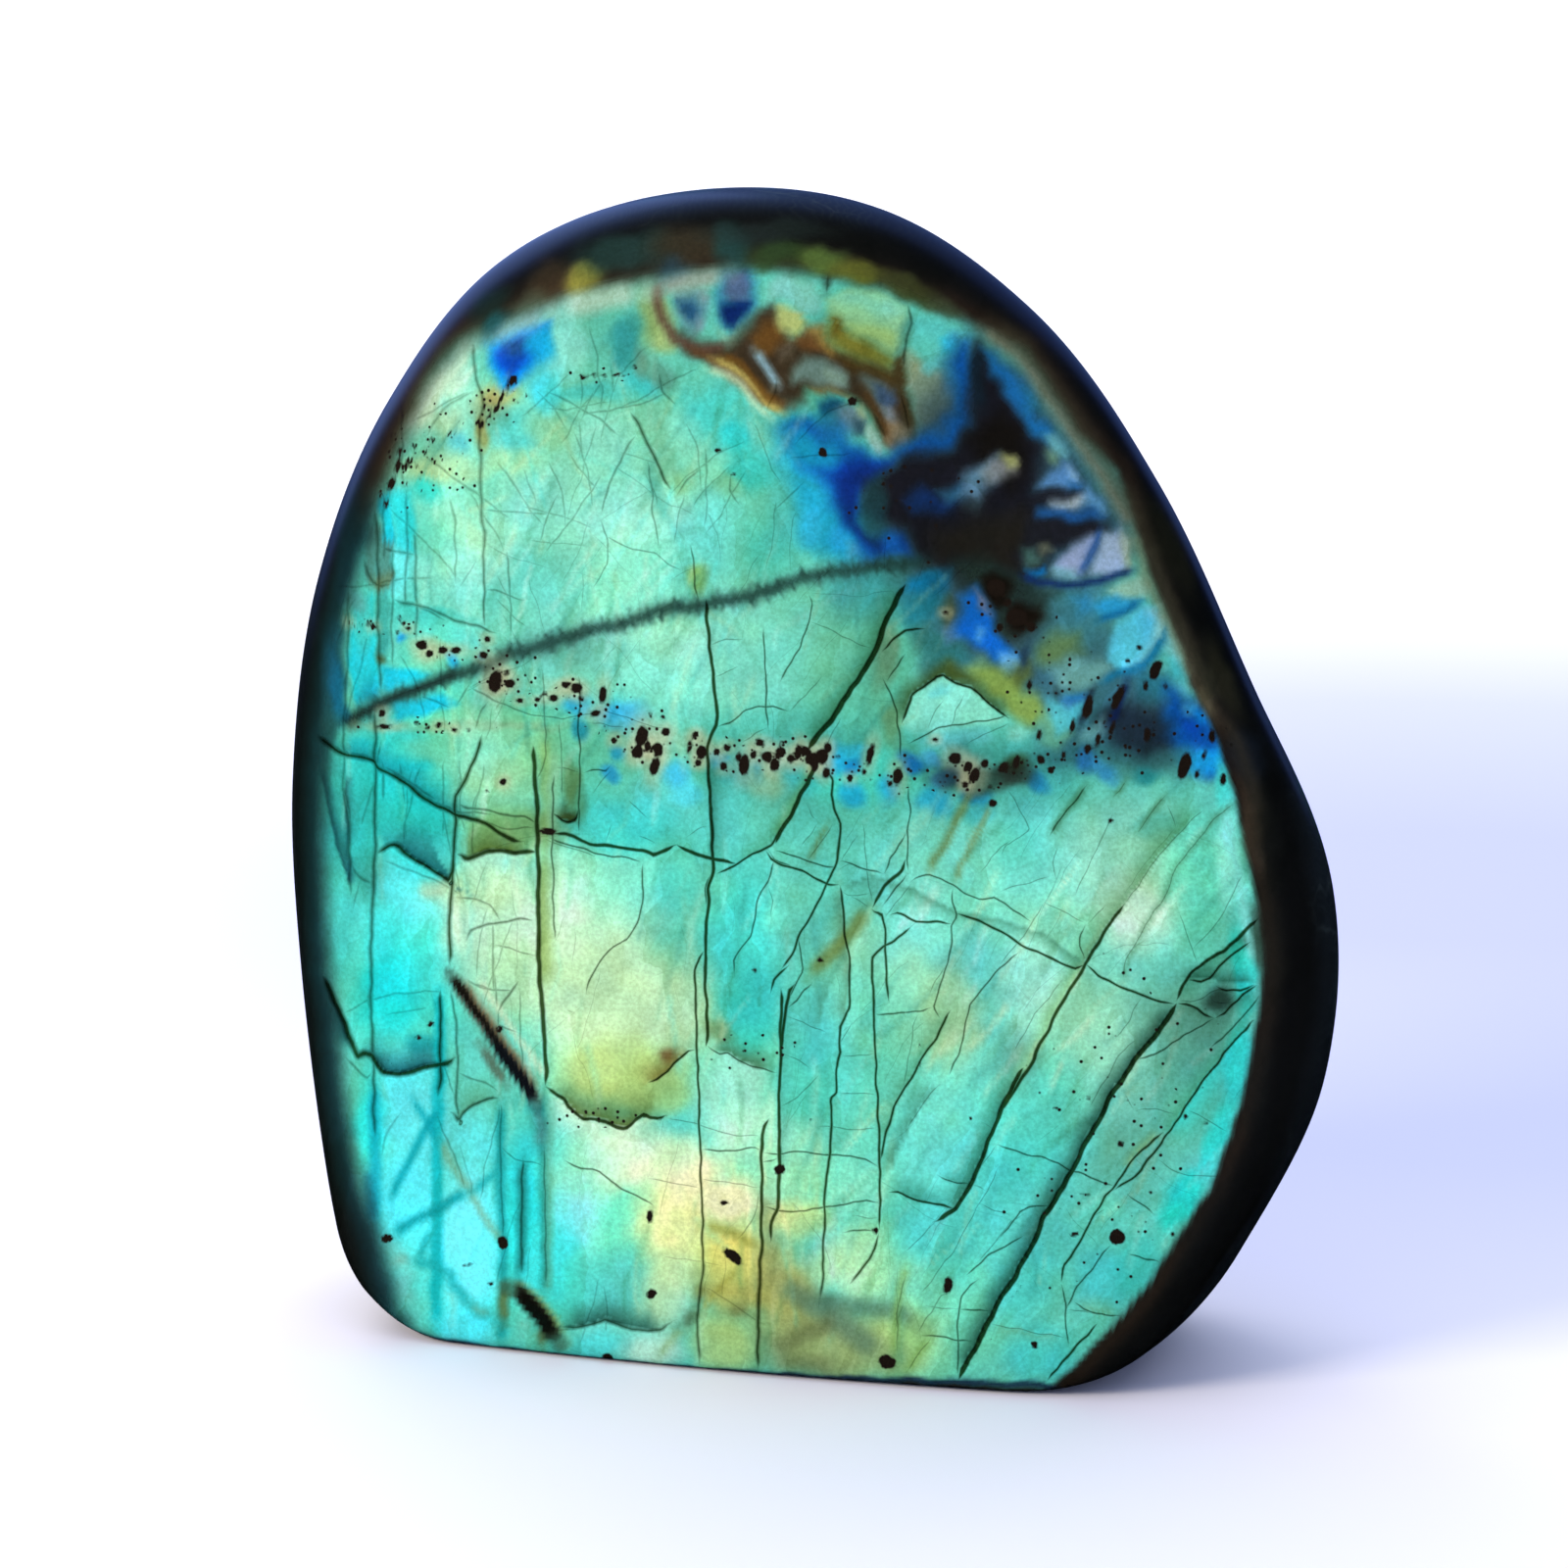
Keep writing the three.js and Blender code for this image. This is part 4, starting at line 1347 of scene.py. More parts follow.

# Painted reflections on the edge that turns away: whitish rows at the upper left, and beige rows with
# darker olive bands beside them down the upper right. The last two rows are a bright mint line at the
# right edge of the flash and a dark navy line along the foot.
PAINTED_REFLECTIONS_AND_EDGE_LINES = """
#A8A08C 8 7 0.45 416,446 428,424 442,400 458,376 474,358 492,344
#C4E4C0 5 6 0.7 426,440 438,418 452,396 466,378 482,360
#A4B4C0 8 8 0.45 494,350 516,339 540,328 562,319
#B4D4BC 11 9 0.85 566,318 590,311 615,305 640,300 660,296
#9C9C8C 9 8 0.75 664,296 690,290 716,285 745,280
#8C8868 6 8 0.75 1000,334 1024,350 1044,368 1062,394 1082,424 1104,456 1124,484 1142,512 1156,540
#4C4A30 8 9 0.6 1012,328 1042,350 1064,378 1086,410 1110,446 1132,478 1152,510 1170,548
#8C9068 5 7 0.7 1156,540 1164,566 1170,590 1180,612 1194,640 1206,668 1218,696
#4C4C34 7 8 0.65 1170,548 1180,580 1190,606 1204,636 1218,668 1230,696 1242,724
#7C7450 6 7 0.7 1218,696 1230,716 1242,736
#3E3826 7 9 0.7 1246,726 1264,760 1278,800 1286,840
#8CF4E0 3.5 4 0.9 1250,830 1259,868 1266,910 1272,950 1277,982
#1A3048 3 2.5 0.9 398,1352 440,1367 520,1379 600,1388 720,1399 840,1406 960,1410 1080,1414
"""
paint_rows(PAINTED_REFLECTIONS_AND_EDGE_LINES, stroke, 3)

# %% [markdown]
# ## Cracks as lines that stay sharp
# Points 0.3 mm apart can't hold a crack that is 0.3 mm wide. Distance helps: each point stores on
# which side of a crack it lies and how far away, and the shader draws the line where that
# distance passes through zero. Between two points it is a straight mix, so the line stays sharp.
# A point can store only one crack in a layer, so cracks that come close to each other go into
# different layers. Each line is about the crack's whole width in pixels, with its soft edges,
# and its places.

# %% Cracks at the top and the left
CRACKS_LEFT = """
4 483,350 486,390 492,405 494,415 489,430 488,445 490,465 492,527 495,545 494,580 494,640
5 643,420 652,435 660,450 670,470 678,490 684,500
3 660,470 665,500 667,527 672,560
3 612,525 622,495 635,465 650,445
3 690,507 700,492 715,478
3 672,380 675,400 690,415
3 745,485 745,500 755,515
2 700,430 712,460 716,500
2 560,470 575,505 578,540
2 720,520 732,545 736,580
2 585,440 600,480 604,520
4 845,280 845,300
4 925,310 930,330 925,345 922,375
3 890,420 905,450
3 920,400 928,440
3 356,600 355,660 352,720 351,745 352,770 350,800 354,830 356,860 357,915
4 383,520 386,560 386,600 385,640 387,680 389,705
5 382,725 383,875 381,910 379,950 378,1015 380,1070 383,1085 382,1115 383,1160
3 401,555 401,600 399,640 400,680
3 414,500 415,560 413,620
3 423,540 425,620 426,655
3 517,560 520,600 522,650
3 388,557 400,561 412,564 424,567
4 372,570 374,585 380,596 388,599 398,597
4 400,611 412,615 425,617 440,623 455,628 470,634 480,638 495,642 506,646
3 426,620 440,626 453,632
3 494,600 505,603 520,608 535,612
3 478,700 490,706 510,718 535,727 555,731 572,734 585,731 610,727
7 322,750 335,760 345,766 355,771 370,774 382,776 384,783 395,788 405,793 415,800 425,808 435,816 \
445,822 455,827 465,831 475,833 485,837 495,842 515,851 533,860
3 388,780 400,786 415,796 430,806 446,817
3 485,745 492,725 498,715
3 505,725 512,712
3 430,710 450,718 460,722
3 465,720 475,705 480,697
2 600,530 595,550 585,575 570,600
2 540,553 600,556
3 618,548 635,555 655,562 670,565 680,575 695,583
3 612,530 620,550 620,575 605,600
2 600,590 592,605 585,620
3 600,737 615,738 630,741 640,743
3 610,724 625,727 640,733 655,738 680,743
4 590,690 592,710 590,735 592,775 590,850
3 553,680 555,700 557,770 553,785 547,798
3 570,735 573,775 573,815
3 357,880 362,888 370,897 382,903
3 448,822 460,825 470,828 485,829 504,833
4 467,819 478,824 490,826 510,830 535,834 549,841
3 490,840 505,842 520,845 548,846
7 384,873 388,868 392,865 398,861 402,861 408,866 415,872 422,878 432,882 440,887 450,894 457,899 \
462,890 463,872
7 466,872 472,873 477,877 485,873 495,869 510,868 525,869 549,870
6 493,750 490,760 485,775 478,790 470,803 465,812 464,870 462,890 461,910 459,930 459,960 460,985
3 391,775 391,820
7 545,760 546,790 548,815 549,900 550,950 551,990 554,1040 556,1080 556,1108
3 465,915 485,918 500,924 508,935 511,940
4 475,960 480,950 488,946 500,943 515,941 530,937 545,939
3 505,965 520,967 535,972 548,975
3 503,940 504,1015
3 475,1002 485,1005 500,1009 515,1010
8 330,995 340,1018 350,1040 357,1060 365,1078 372,1074 380,1076 385,1085 392,1094 405,1096 422,1093 \
435,1088 448,1085 458,1084 465,1078
3 352,1080 362,1090 375,1099 382,1092
6 450,1010 449,1085 448,1120
4 461,1010 466,1050 468,1080 467,1095 465,1110 466,1130 468,1143
5 458,1135 463,1137 468,1144 473,1135 482,1128 495,1123 509,1120
3 467,1095 480,1100 495,1105 508,1115
3 509,1030 508,1050
4 530,1000 520,1015 512,1025 508,1035
3 475,1000 490,1008 525,1012
3 507,1045 520,1050 530,1053
3 505,990 507,1030
3 530,1010 532,1060 534,1090
3 511,1125 511,1170 514,1262
4 532,1180 533,1300
3 556,1170 556,1310
3 512,1170 525,1183 540,1186 555,1190
"""

# %% Cracks in the middle
CRACKS_MIDDLE = """
4 705,555 708,575 710,600 712,612
6 720,610 722,640 723,660 726,680 729,700 731,725 731,740 727,750 722,762 722,780 724,800 725,830 \
726,860 727,880 726,895 723,905 722,920 721,940 720,960 719,980 720,1015 721,1020 722,1060 721,1070
4 731,742 745,737 760,725 775,721 790,721 805,727
3 722,658 740,653 760,653
3 727,692 740,685 755,681
4 779,640 781,680 782,720 784,745
3 784,742 770,750 755,760
2 700,655 690,680 680,700 665,710
4 825,605 830,615 825,635 815,660 805,680 795,698
3 825,635 845,640 860,650 875,657 890,662
3 840,690 825,705 812,720 805,728
3 860,730 850,745 845,760 842,775
2 755,600 760,630 757,660
2 650,600 655,640 652,680
8 925,595 915,612 905,630 902,640 895,662 885,678 875,695 865,710 855,725 843,740 832,755 825,765
5 945,640 925,642 910,655 900,665
4 900,690 908,705 915,725 918,745 920,775
4 905,695 915,680 925,665
5 921,738 930,710 945,697 955,690 962,688 975,698 990,702 1000,708 1010,718 1020,726 1030,735
3 945,745 955,725 965,712
3 970,745 975,725 985,708
4 925,760 945,750 960,742 985,738 1010,735 1030,730
3 985,760 1000,752 1015,745 1030,738
4 565,790 564,850 565,960
5 563,829 570,833 575,838 580,840 587,836 590,825
6 563,849 575,850 585,853 592,858 600,862 625,863 640,866 655,868 668,873 675,870 683,865 690,861
4 560,853 570,858 590,865 605,870 620,873 640,876 655,880
3 555,855 575,862 595,870 610,874
3 650,852 660,857 670,862
6 690,861 700,867 712,872 722,876 740,878 752,880
5 730,892 738,888 748,883 760,877 770,871 780,866 787,862 796,850 802,838 805,832
4 725,890 720,905 719,925
5 718,970 712,978 709,990 709,1000 711,1070 713,1110 714,1150 715,1200 717,1270 718,1300 714,1325 \
712,1345 713,1390
4 656,880 655,900 657,920 652,935 645,950 640,960 620,970 610,985 602,1000 598,1015
3 618,862 622,850 625,840
3 700,855 715,845 722,843
3 640,815 655,830 662,838
3 605,810 615,795 625,785
4 595,789 610,786 618,787 624,780
3 566,783 580,784 592,788
4 784,868 790,876 800,880 810,884
4 790,876 786,890 783,900 777,910 772,920 770,940 765,955 755,970 749,980 748,995
3 783,905 788,920 787,940
5 805,985 798,992 790,1000 786,1015
7 835,765 830,785 825,800 815,815 805,835 797,850 790,862
5 843,785 850,795 848,810 852,822 857,840 856,860 855,875 852,885 848,893 843,903 838,915 830,930 \
822,945 815,955 812,965 805,978 797,990
4 815,955 817,975 820,990 812,1005 803,1022
5 780,868 787,876 795,880 810,886 825,893 835,898 845,902 857,904
4 790,867 805,871 820,878 835,882 855,886
4 857,878 870,882 885,888 903,893
3 856,888 865,882 870,880
5 857,904 860,925 861,940 862,955 866,970 868,985 866,1005 868,1028 862,1038 856,1048 857,1065 \
858,1075 855,1082 854,1100 853,1115 848,1120 848,1150 846,1180 843,1205 842,1230 840,1270 837,1325
3 857,910 865,914 875,914 888,910
3 865,914 875,918 889,925
3 881,838 883,870 885,890 888,905 890,920
5 889,925 893,930 900,932 902,938 903,960 904,985 906,1022
4 925,850 915,865 908,875 903,893
6 925,875 920,885 912,895 903,905 896,915 890,925
4 925,890 918,900 908,915 900,925
3 930,900 920,915 912,925 903,938
4 927,800 928,830 926,850 926,890
4 928,900 935,896 948,893 960,896 972,902 985,912 1000,918 1015,915 1025,922 1035,930 1053,940
4 972,905 972,920 976,935 972,945 972,960 967,985 958,1010 953,1028 960,1040
5 908,935 915,933 925,934 935,940 950,941 972,943
5 930,944 922,952 912,960 903,965 895,972 890,978 890,990 892,1030 893,1060 895,1110 896,1150 \
897,1180 898,1255
5 975,932 985,935 1000,940 1015,948 1030,955 1040,962 1055,970 1070,977 1085,984 1097,990 1108,984
3 823,820 828,832 835,838
3 850,840 842,855 830,870 823,880
3 875,850 865,865 858,880
3 835,840 815,865
4 1040,970 1030,980 1018,990 1005,1005 990,1025 985,1045 982,1060 978,1075 967,1097
3 967,985 955,1000 948,1015
3 1035,855 1022,865 1010,875 1000,890
3 1028,805 1035,815 1045,835 1050,848 1040,855 1028,862 1020,875
2 955,820 945,850 940,870
2 745,900 750,930 746,960
2 690,930 700,960 698,1000
2 830,880 825,905 815,925
2 1000,760 992,800 985,830
"""

# %% Cracks at the right
CRACKS_RIGHT = """
1.8 923,800 928,825 926,850 927,875 922,895 910,918
1.3 1080,820 1066,834 1053,847 1040,858 1033,867 1020,880 1007,893
1.3 1160,833 1148,858 1133,887 1118,908 1100,927
2.4 1200,843 1187,860 1173,876 1160,893 1147,912
1.3 1258,853 1242,873 1227,893 1209,913 1193,933 1182,950 1173,967
1.6 872,832 880,858 884,880 889,905 892,935 893,967
1.2 800,1075 827,1067 848,1071 867,1080
1.2 850,1113 872,1115 893,1119
4 1110,800 1090,825 1070,853
3 1135,830 1130,845 1120,865 1110,885 1103,900 1098,915
3 1150,795 1135,815
3 1190,810 1175,830 1160,850
3 1190,820 1200,845
3 1230,825 1210,842 1195,858 1178,880 1162,903 1148,922
6 1148,922 1140,932 1130,945 1122,960 1115,972 1108,984 1100,1000 1092,1010 1080,1030 1070,1050 \
1060,1065 1055,1080 1047,1095 1040,1105 1030,1120 1022,1135
3 1260,820 1240,835 1225,855 1210,872 1200,885 1195,900 1185,920 1175,935 1165,950 1150,980 1145,1000
3 1268,890 1262,905 1255,920 1245,938 1235,950 1225,960 1217,968
3 1203,930 1210,950 1217,968 1220,985
6 1285,935 1270,950 1260,960 1250,970 1235,978 1225,985 1215,993 1208,1005 1200,1022
5 1275,960 1260,972 1245,985 1235,998 1225,1002 1212,1000
5 1240,1005 1250,1010 1265,1012 1280,1005
5 1108,984 1120,995 1135,1003 1150,1010 1165,1015 1175,1018 1198,1026
3 1020,920 1035,930 1053,940
3 1065,920 1060,932 1050,945 1040,958 1030,972 1020,985
3 1065,920 1080,928 1095,936 1108,941
3 1078,900 1070,912 1066,920
3 1020,910 1040,903 1060,898 1072,895
3 1080,860 1075,880 1078,900
3 1110,942 1120,930 1130,922
4 1108,942 1103,955 1103,965 1107,980
2 1130,870 1150,885 1165,900
2 1155,930 1170,945 1180,965
2 1075,960 1085,945 1092,935
2 1030,1000 1045,1015 1060,1030
3 1085,1000 1070,1018 1055,1035 1045,1055 1035,1075
5 970,1030 962,1045 955,1060 945,1075 935,1090 928,1102 920,1115 912,1130 908,1145 903,1155 898,1185
3 937,1035 932,1048 930,1065 926,1080 921,1110
3 960,1105 950,1115 940,1130 930,1145 925,1155
5 905,1217 918,1217 930,1222 945,1227 958,1230 975,1233
4 955,1198 965,1204 975,1207 990,1208
7 1045,1090 1035,1105 1025,1125 1017,1145 1010,1160 1003,1180 997,1195 990,1208 983,1222 975,1233 \
965,1240 955,1247
3 955,1247 940,1262 922,1278
3 1018,1168 1005,1185 995,1198
4 1018,1168 1035,1173 1050,1179 1065,1183 1080,1187 1095,1195 1110,1200 1135,1210
3 1003,1145 1013,1152
3 1020,1190 1008,1215 998,1230 988,1248 978,1265 970,1282 955,1300 940,1320
3 990,1208 1000,1211 1008,1216
3 1000,1227 1015,1235 1032,1241
8 1200,1025 1190,1042 1180,1057 1168,1070 1158,1082 1150,1092 1145,1100 1140,1110 1132,1120 \
1122,1140 1115,1155 1107,1167 1100,1183 1093,1195 1087,1207 1080,1218 1073,1230 1065,1243 1058,1262 \
1045,1285 1035,1305 1020,1325 1010,1345 1003,1362 993,1380 985,1395 978,1408
5 1280,1040 1270,1052 1260,1060 1248,1075 1240,1088 1230,1100 1220,1115 1210,1128 1203,1140 \
1195,1153 1187,1162 1180,1172 1170,1185 1165,1195 1155,1202 1145,1208 1135,1215
5 1187,1155 1178,1162 1163,1177 1155,1185 1148,1195 1142,1202 1135,1212 1128,1220 1122,1232 \
1117,1238 1108,1255 1100,1270 1093,1283 1086,1292 1085,1300 1083,1310
5 1200,1025 1212,1025 1222,1028 1230,1035 1240,1040
3 1200,1022 1215,1022 1228,1018 1235,1012 1245,1008 1260,1015
3 1235,1018 1240,1023 1258,1024
5 1240,1040 1250,1035 1258,1025 1265,1018 1275,1010 1283,1005
4 1240,1040 1225,1047 1210,1055 1200,1062 1190,1068 1170,1080 1158,1083
4 1285,1015 1275,1030 1265,1042 1255,1050 1245,1060 1235,1070
3 1165,1018 1157,1030 1152,1042 1145,1053 1137,1060
3 1160,1062 1145,1072 1140,1078 1133,1095 1120,1115 1110,1130
2 1120,1080 1105,1100 1090,1115 1080,1130
3 1158,1134 1170,1131 1185,1133 1200,1137
3 1148,1115 1158,1133
3 1180,1183 1190,1190 1200,1195 1215,1200 1245,1200
3 1210,1132 1225,1140 1253,1155
4 1020,1265 1030,1250 1040,1236 1050,1230 1072,1230
4 1150,1218 1160,1226 1170,1232 1178,1240
3 1130,1230 1137,1240
4 1117,1240 1128,1234
4 1134,1270 1120,1285 1110,1298 1100,1312 1093,1325 1087,1335
4 1150,1278 1165,1283 1185,1288
4 1083,1310 1088,1330 1088,1350 1090,1375
4 1095,1327 1105,1337 1120,1341 1145,1343
3 1088,1335 1115,1341
5 1120,1350 1110,1362 1098,1372 1092,1380 1082,1392 1070,1408
3 1010,1350 1025,1355 1045,1357 1070,1362 1088,1367
4 1045,1260 1025,1272 1010,1280 1000,1290 985,1302
3 1045,1237 1030,1247 1022,1260 1010,1275 998,1288
"""

# %% Cracks at the foot
CRACKS_FOOT = """
6 556,1108 565,1115 575,1122 580,1130 590,1137 598,1142 608,1142 618,1145 628,1149 638,1152 \
645,1146 650,1141 657,1138 663,1142 673,1142 680,1137
5 660,1105 672,1098 682,1092 690,1083 697,1077 703,1072 710,1071
4 722,1067 728,1072 735,1076 743,1074 750,1078 758,1083 765,1087 775,1091 793,1094
3 711,1008 720,1006
3 712,1022 720,1017
3 713,1036 721,1030
3 680,1140 695,1143 710,1147 725,1152 740,1156 775,1160
4 715,1173 735,1174 755,1173 770,1171 777,1175
3 715,1203 745,1207 775,1212
3 660,1203 680,1205 700,1210 715,1213
6 785,1140 780,1150 777,1160 778,1175 777,1240 776,1290 775,1320 774,1360 773,1397
6 797,1010 797,1090 795,1110 795,1150 796,1200 794,1232 788,1250 786,1268
4 778,1187 787,1184 795,1181
3 778,1177 795,1177
3 780,1200 792,1205
3 780,1230 793,1228
4 575,1183 585,1190 592,1193 605,1192 612,1195 622,1205 635,1213 650,1220 662,1227 668,1232
2 600,1165 597,1180 592,1210 588,1240
2 680,1155 673,1180 662,1200 655,1215
3 575,1030 587,1033
6 812,1003 805,1012 803,1022 801,1035 800,1050 797,1075
4 803,1030 812,1022 822,1010 830,1002
3 870,1040 862,1055 857,1068
4 892,1035 910,1034 925,1033 940,1032 952,1028
3 858,1079 875,1077 893,1075
3 855,1115 870,1116 895,1117
3 835,1150 848,1150 865,1152 896,1152
4 780,1177 810,1176 845,1178 870,1180 885,1184 896,1190
3 803,1038 820,1043 845,1055
3 800,1075 815,1082 828,1093
3 835,1095 825,1108 815,1120 797,1130
4 780,1232 800,1236 820,1235 840,1232 860,1230 872,1226 885,1224 898,1228
3 870,1240 898,1244
4 860,1258 880,1255 893,1256
5 897,1258 892,1272 885,1285 878,1298 868,1310
2 905,1225 907,1260 908,1300
2 916,1290 916,1350 916,1385
3 970,1320 960,1322 950,1338 941,1352 936,1360
4 1000,1305 990,1312 980,1325 978,1340 977,1380 978,1405
4 978,1337 994,1336 1010,1337
3 945,1332 978,1337
4 940,1362 978,1367 992,1368
3 775,1215 770,1240 760,1255 752,1265
5 573,1354 590,1354 605,1352 618,1347 632,1352 645,1357 660,1358 675,1356 685,1350
3 950,1365 935,1385 925,1402
3 925,1300 915,1340 915,1375
2 1040,1290 1055,1305 1062,1325
2 1020,1370 1040,1382 1052,1400
2 960,1270 950,1290 935,1305
"""

# %% Lay the cracks in layers
LAYERS = 12
KEEP_CLEAR = 13.5  # pixels round a crack where its layer holds no other crack
WIDTH_HOLDS = 4.7  # pixels past the crack's edge where its width still counts
WIDTH_SHARE = 0.55  # with the next value: half the crack's width, less what the blur adds to it
BLUR_ADDS = 1.6
TIP = 9  # pixels over which a crack thins out at its ends
NO_CRACK = 40.0  # the distance where no crack is near
crack_side = np.full((len(seen), LAYERS), NO_CRACK)
crack_half = np.zeros((len(seen), LAYERS))
layer_taken = np.zeros((len(seen), LAYERS), dtype=bool)
# How far a sharp line is spread, in pixels: sharp at the right, soft at the left and the ends.
line_blur = 0.9 + 1.6 * smoothstep(-seen_at[:, 0], -620, -380)
line_blur += 1.2 * smoothstep(seen_at[:, 1], 1200, 1400) * smoothstep(-seen_at[:, 0], -1000, -760)
line_blur += 1.3 * smoothstep(-seen_at[:, 1], -640, -420)
line_blur = np.minimum(line_blur, 2.8)


def lay_crack(width, text):
    """Puts one crack into the first layer that is free near it. Says whether one was."""
    line = points_of(text)
    half = WIDTH_SHARE * width - BLUR_ADDS
    ids, distance, side, gone, total = near_line(line, KEEP_CLEAR)
    free = np.flatnonzero(~layer_taken[ids].any(axis=0))
    if not len(free) or not len(ids):
        return False
    layer = free[0]
    layer_taken[ids, layer] = True
    tip = np.clip(np.minimum(gone, total - gone) / TIP, 0, 1)
    full = half + line_blur[ids]
    near = (tip > 0) * (distance < full + WIDTH_HOLDS)
    crack_side[ids, layer] = side * distance
    crack_half[ids, layer] = full * (0.25 + 0.75 * tip) * near
    return True


cracks = []
for table in (CRACKS_LEFT, CRACKS_MIDDLE, CRACKS_RIGHT, CRACKS_FOOT):
    for line in table.strip().splitlines():
        width, places = line.split(maxsplit=1)
        cracks.append((float(width), places))
for width, places in sorted(cracks, key=lambda crack: -len(crack[1])):
    lay_crack(width, places)
print(len(cracks), "cracks")

# %% Hairlines that follow the cleavage
# The same fields as for the streaks, with a share of short hairlines that cross the cleavage.
HAIRLINES_PER_STREAK = 0.5
CROSSING = 0.25
dice = np.random.default_rng(5)
hairline_count = 0
for count, middle, reach, lean, spread in STREAK_FIELDS:
    for _ in range(int(count * HAIRLINES_PER_STREAK)):
        spot = np.array(middle) + np.array(reach) * dice.uniform(-1, 1, 2)
        slant = dice.normal(lean, spread)
        if dice.random() < CROSSING:
            slant += dice.uniform(60, 110)
        turn = math.radians(slant)
        walk = [spot]
        for _ in range(dice.integers(3, 8)):
            turn += dice.normal(0, 0.12)
            stride = dice.uniform(8, 20)
            walk.append(walk[-1] + stride * np.array([math.sin(turn), -math.cos(turn)]))
        places = " ".join(f"{x:.1f},{y:.1f}" for x, y in walk)
        if not lay_crack(dice.uniform(1.4, 2.4), places):
            stroke("#2E6450", places, 0.8, 2.0, 0.3)
        hairline_count += 1
print(hairline_count, "hairlines")
print("layers used:", int((crack_half.max(axis=0) > 0).sum()))

# %% [markdown]
# ## Needles and grains of iron oxide
# The dark specks are needles and grains of iron oxide, some rounded and some slanted. They use
# the same trick as the cracks: each point stores how deep it lies inside the nearest speck. The
# larger ones in the long row have a pale sandy halo, because the feldspar round them is bleached.

# %% Specks
SPECKS = """
423,455 4,4; 441,448 4,4; 460,442 5,3; 433,462 3,3; 419,470 5,4; 414,478 4,4; 406,475 4,8 20;
399,493 4,8 20; 427,477 3,3; 444,472 3,3; 415,495 3,3; 388,505 3,3; 394,515 3,5 20; 430,500 2.5,2.5;
452,470 3,2.5; 408,460 3,4 10; 470,432 3,2.5; 512,405 4,4; 507,417 5,4; 495,415 3,3; 489,432 6,5;
525,408 4,3; 523,388 6,5; 518,396 3,4 20; 500,425 3,3; 536,402 3,3; 595,385 4,3; 606,382 5,2.5;
617,382 4,2.5; 632,383 8,2.5; 648,375 3,2.5; 733,460 4,3; 748,485 3,3; 870,410 6,5; 840,462 5,5;
407,629 3,3; 413,635 3,3; 418,640 4,3; 406,645 3,3; 381,639 4,3; 370,636 2.5,2.5; 376,634 2.5,2.5;
363,641 2.5,2.5; 357,636 4,2.5; 430,658 6,5; 438,667 4,4; 452,664 5,4; 466,664 6,4; 497,652 4,3.5;
493,668 5,4; 506,695 7,12 10; 520,697 6,5; 517,686 4,3; 390,728 4,4; 392,741 9,3; 425,737 3,3;
437,742 3,3; 448,740 4,3; 463,745 4,2.5; 478,745 3,2.5; 530,715 4,3; 549,714 4,3; 556,708 3,3;
565,713 5,4; 577,699 5,4; 588,702 7,5 15; 593,712 3,4; 615,709 4,10 10; 607,728 6,4; 664,728 3,3;
677,732 3,3; 654,752 6,12 12; 650,768 6,7; 661,762 4,6 10; 679,747 5,5; 672,765 6,8 10;
668,782 5,10 15; 627,755 4,4; 710,750 4,4; 703,762 3,8 15; 716,768 6,7; 712,778 4,4; 775,758 6,4;
795,768 6,6; 797,758 3,3; 742,762 4,4; 732,768 4,4; 738,782 4,5; 760,780 6,11 10; 770,770 4,5;
753,772 3,5 10; 783,772 5,6; 790,780 5,7 10; 814,768 4,9 12; 806,774 4,6; 822,766 6,6; 828,774 8,7;
838,772 6,8 15; 831,783 4,5; 843,788 4,6 10; 845,762 4,5; 855,772 3,3; 888,770 4,11 12; 867,795 4,4;
882,788 3,4; 916,793 5,9; 909,800 3,4; 975,774 7,6 20; 988,783 5,6; 995,792 6,9 25; 985,800 4,4;
1010,803 3,3; 1013,820 5,4; 955,755 4,3; 836,980 4,3; 1005,780 4,5; 1024,782 5,7 20;
1037,778 4,8 20; 1072,785 4,4; 1062,775 4,5; 1110,765 4,6 15; 1085,770 3,5; 1163,660 4,3;
1180,684 6,11 20; 1168,700 3,6 15; 1190,700 3,4; 1141,712 5,13 25; 1110,722 5,13 25;
1170,750 4,9 10; 1150,675 3,3; 1208,782 6,15 15; 1248,795 4,7; 1237,752 4,8; 1221,790 3,5 15;
1229,772 3,6 15; 1016,600 10,8 20; 1037,630 11,9; 1028,615 5,4; 1052,640 6,5; 1020,640 4,5;
1095,740 3,9 15; 1120,755 3,9 15; 1135,742 3,8 20; 1060,750 3,6 10; 1050,700 3,7 15; 770,990 3,3;
510,1050 5,4; 440,1045 4,3.5; 427,1059 4,3; 500,1310 3,3; 796,1193 6,6; 663,1241 4,7;
740,1227 5,3.5; 748,1282 13,5.5 42; 665,1320 6,5 20; 967,1312 5,9 12; 905,1389 9,7 15; 620,1385 6,5;
893,1256 4,4; 1056,1371 4,4; 1140,1263 8.5,8.5 45; 1095,1259 6,3; 1143,1167 4,4; 1210,1140 3,3;
1230,1146 2.5,2.5; 1110,1120 2.5,2.5; 1104,1218 2.5,2.5; 1113,1218 2.5,2.5; 1174,1217 2.5,2.5;
1197,1260 2.5,2.5; 1078,1130 3,2.5; 940,1086 2.5,2.5; 940,1067 2.5,2.5; 828,1143 2.5,2.5;
990,1140 2.5,2.5; 477,1291 6,2.5; 394,1264 6,5; 513,1268 6,7; 1133,838 3,3; 965,625 4,3;
513,798 4,4; 497,807 2.5,2.5; 559,848 10,4
"""
NO_SPECK = -12.0  # the depth where no speck is near
SQUARENESS = 2.4  # 2 would be an oval, and a larger value a box
HALO_ENDS = 3.2
speck_depth = np.full(len(seen), NO_SPECK)
speck_list = SPECKS.split(";")
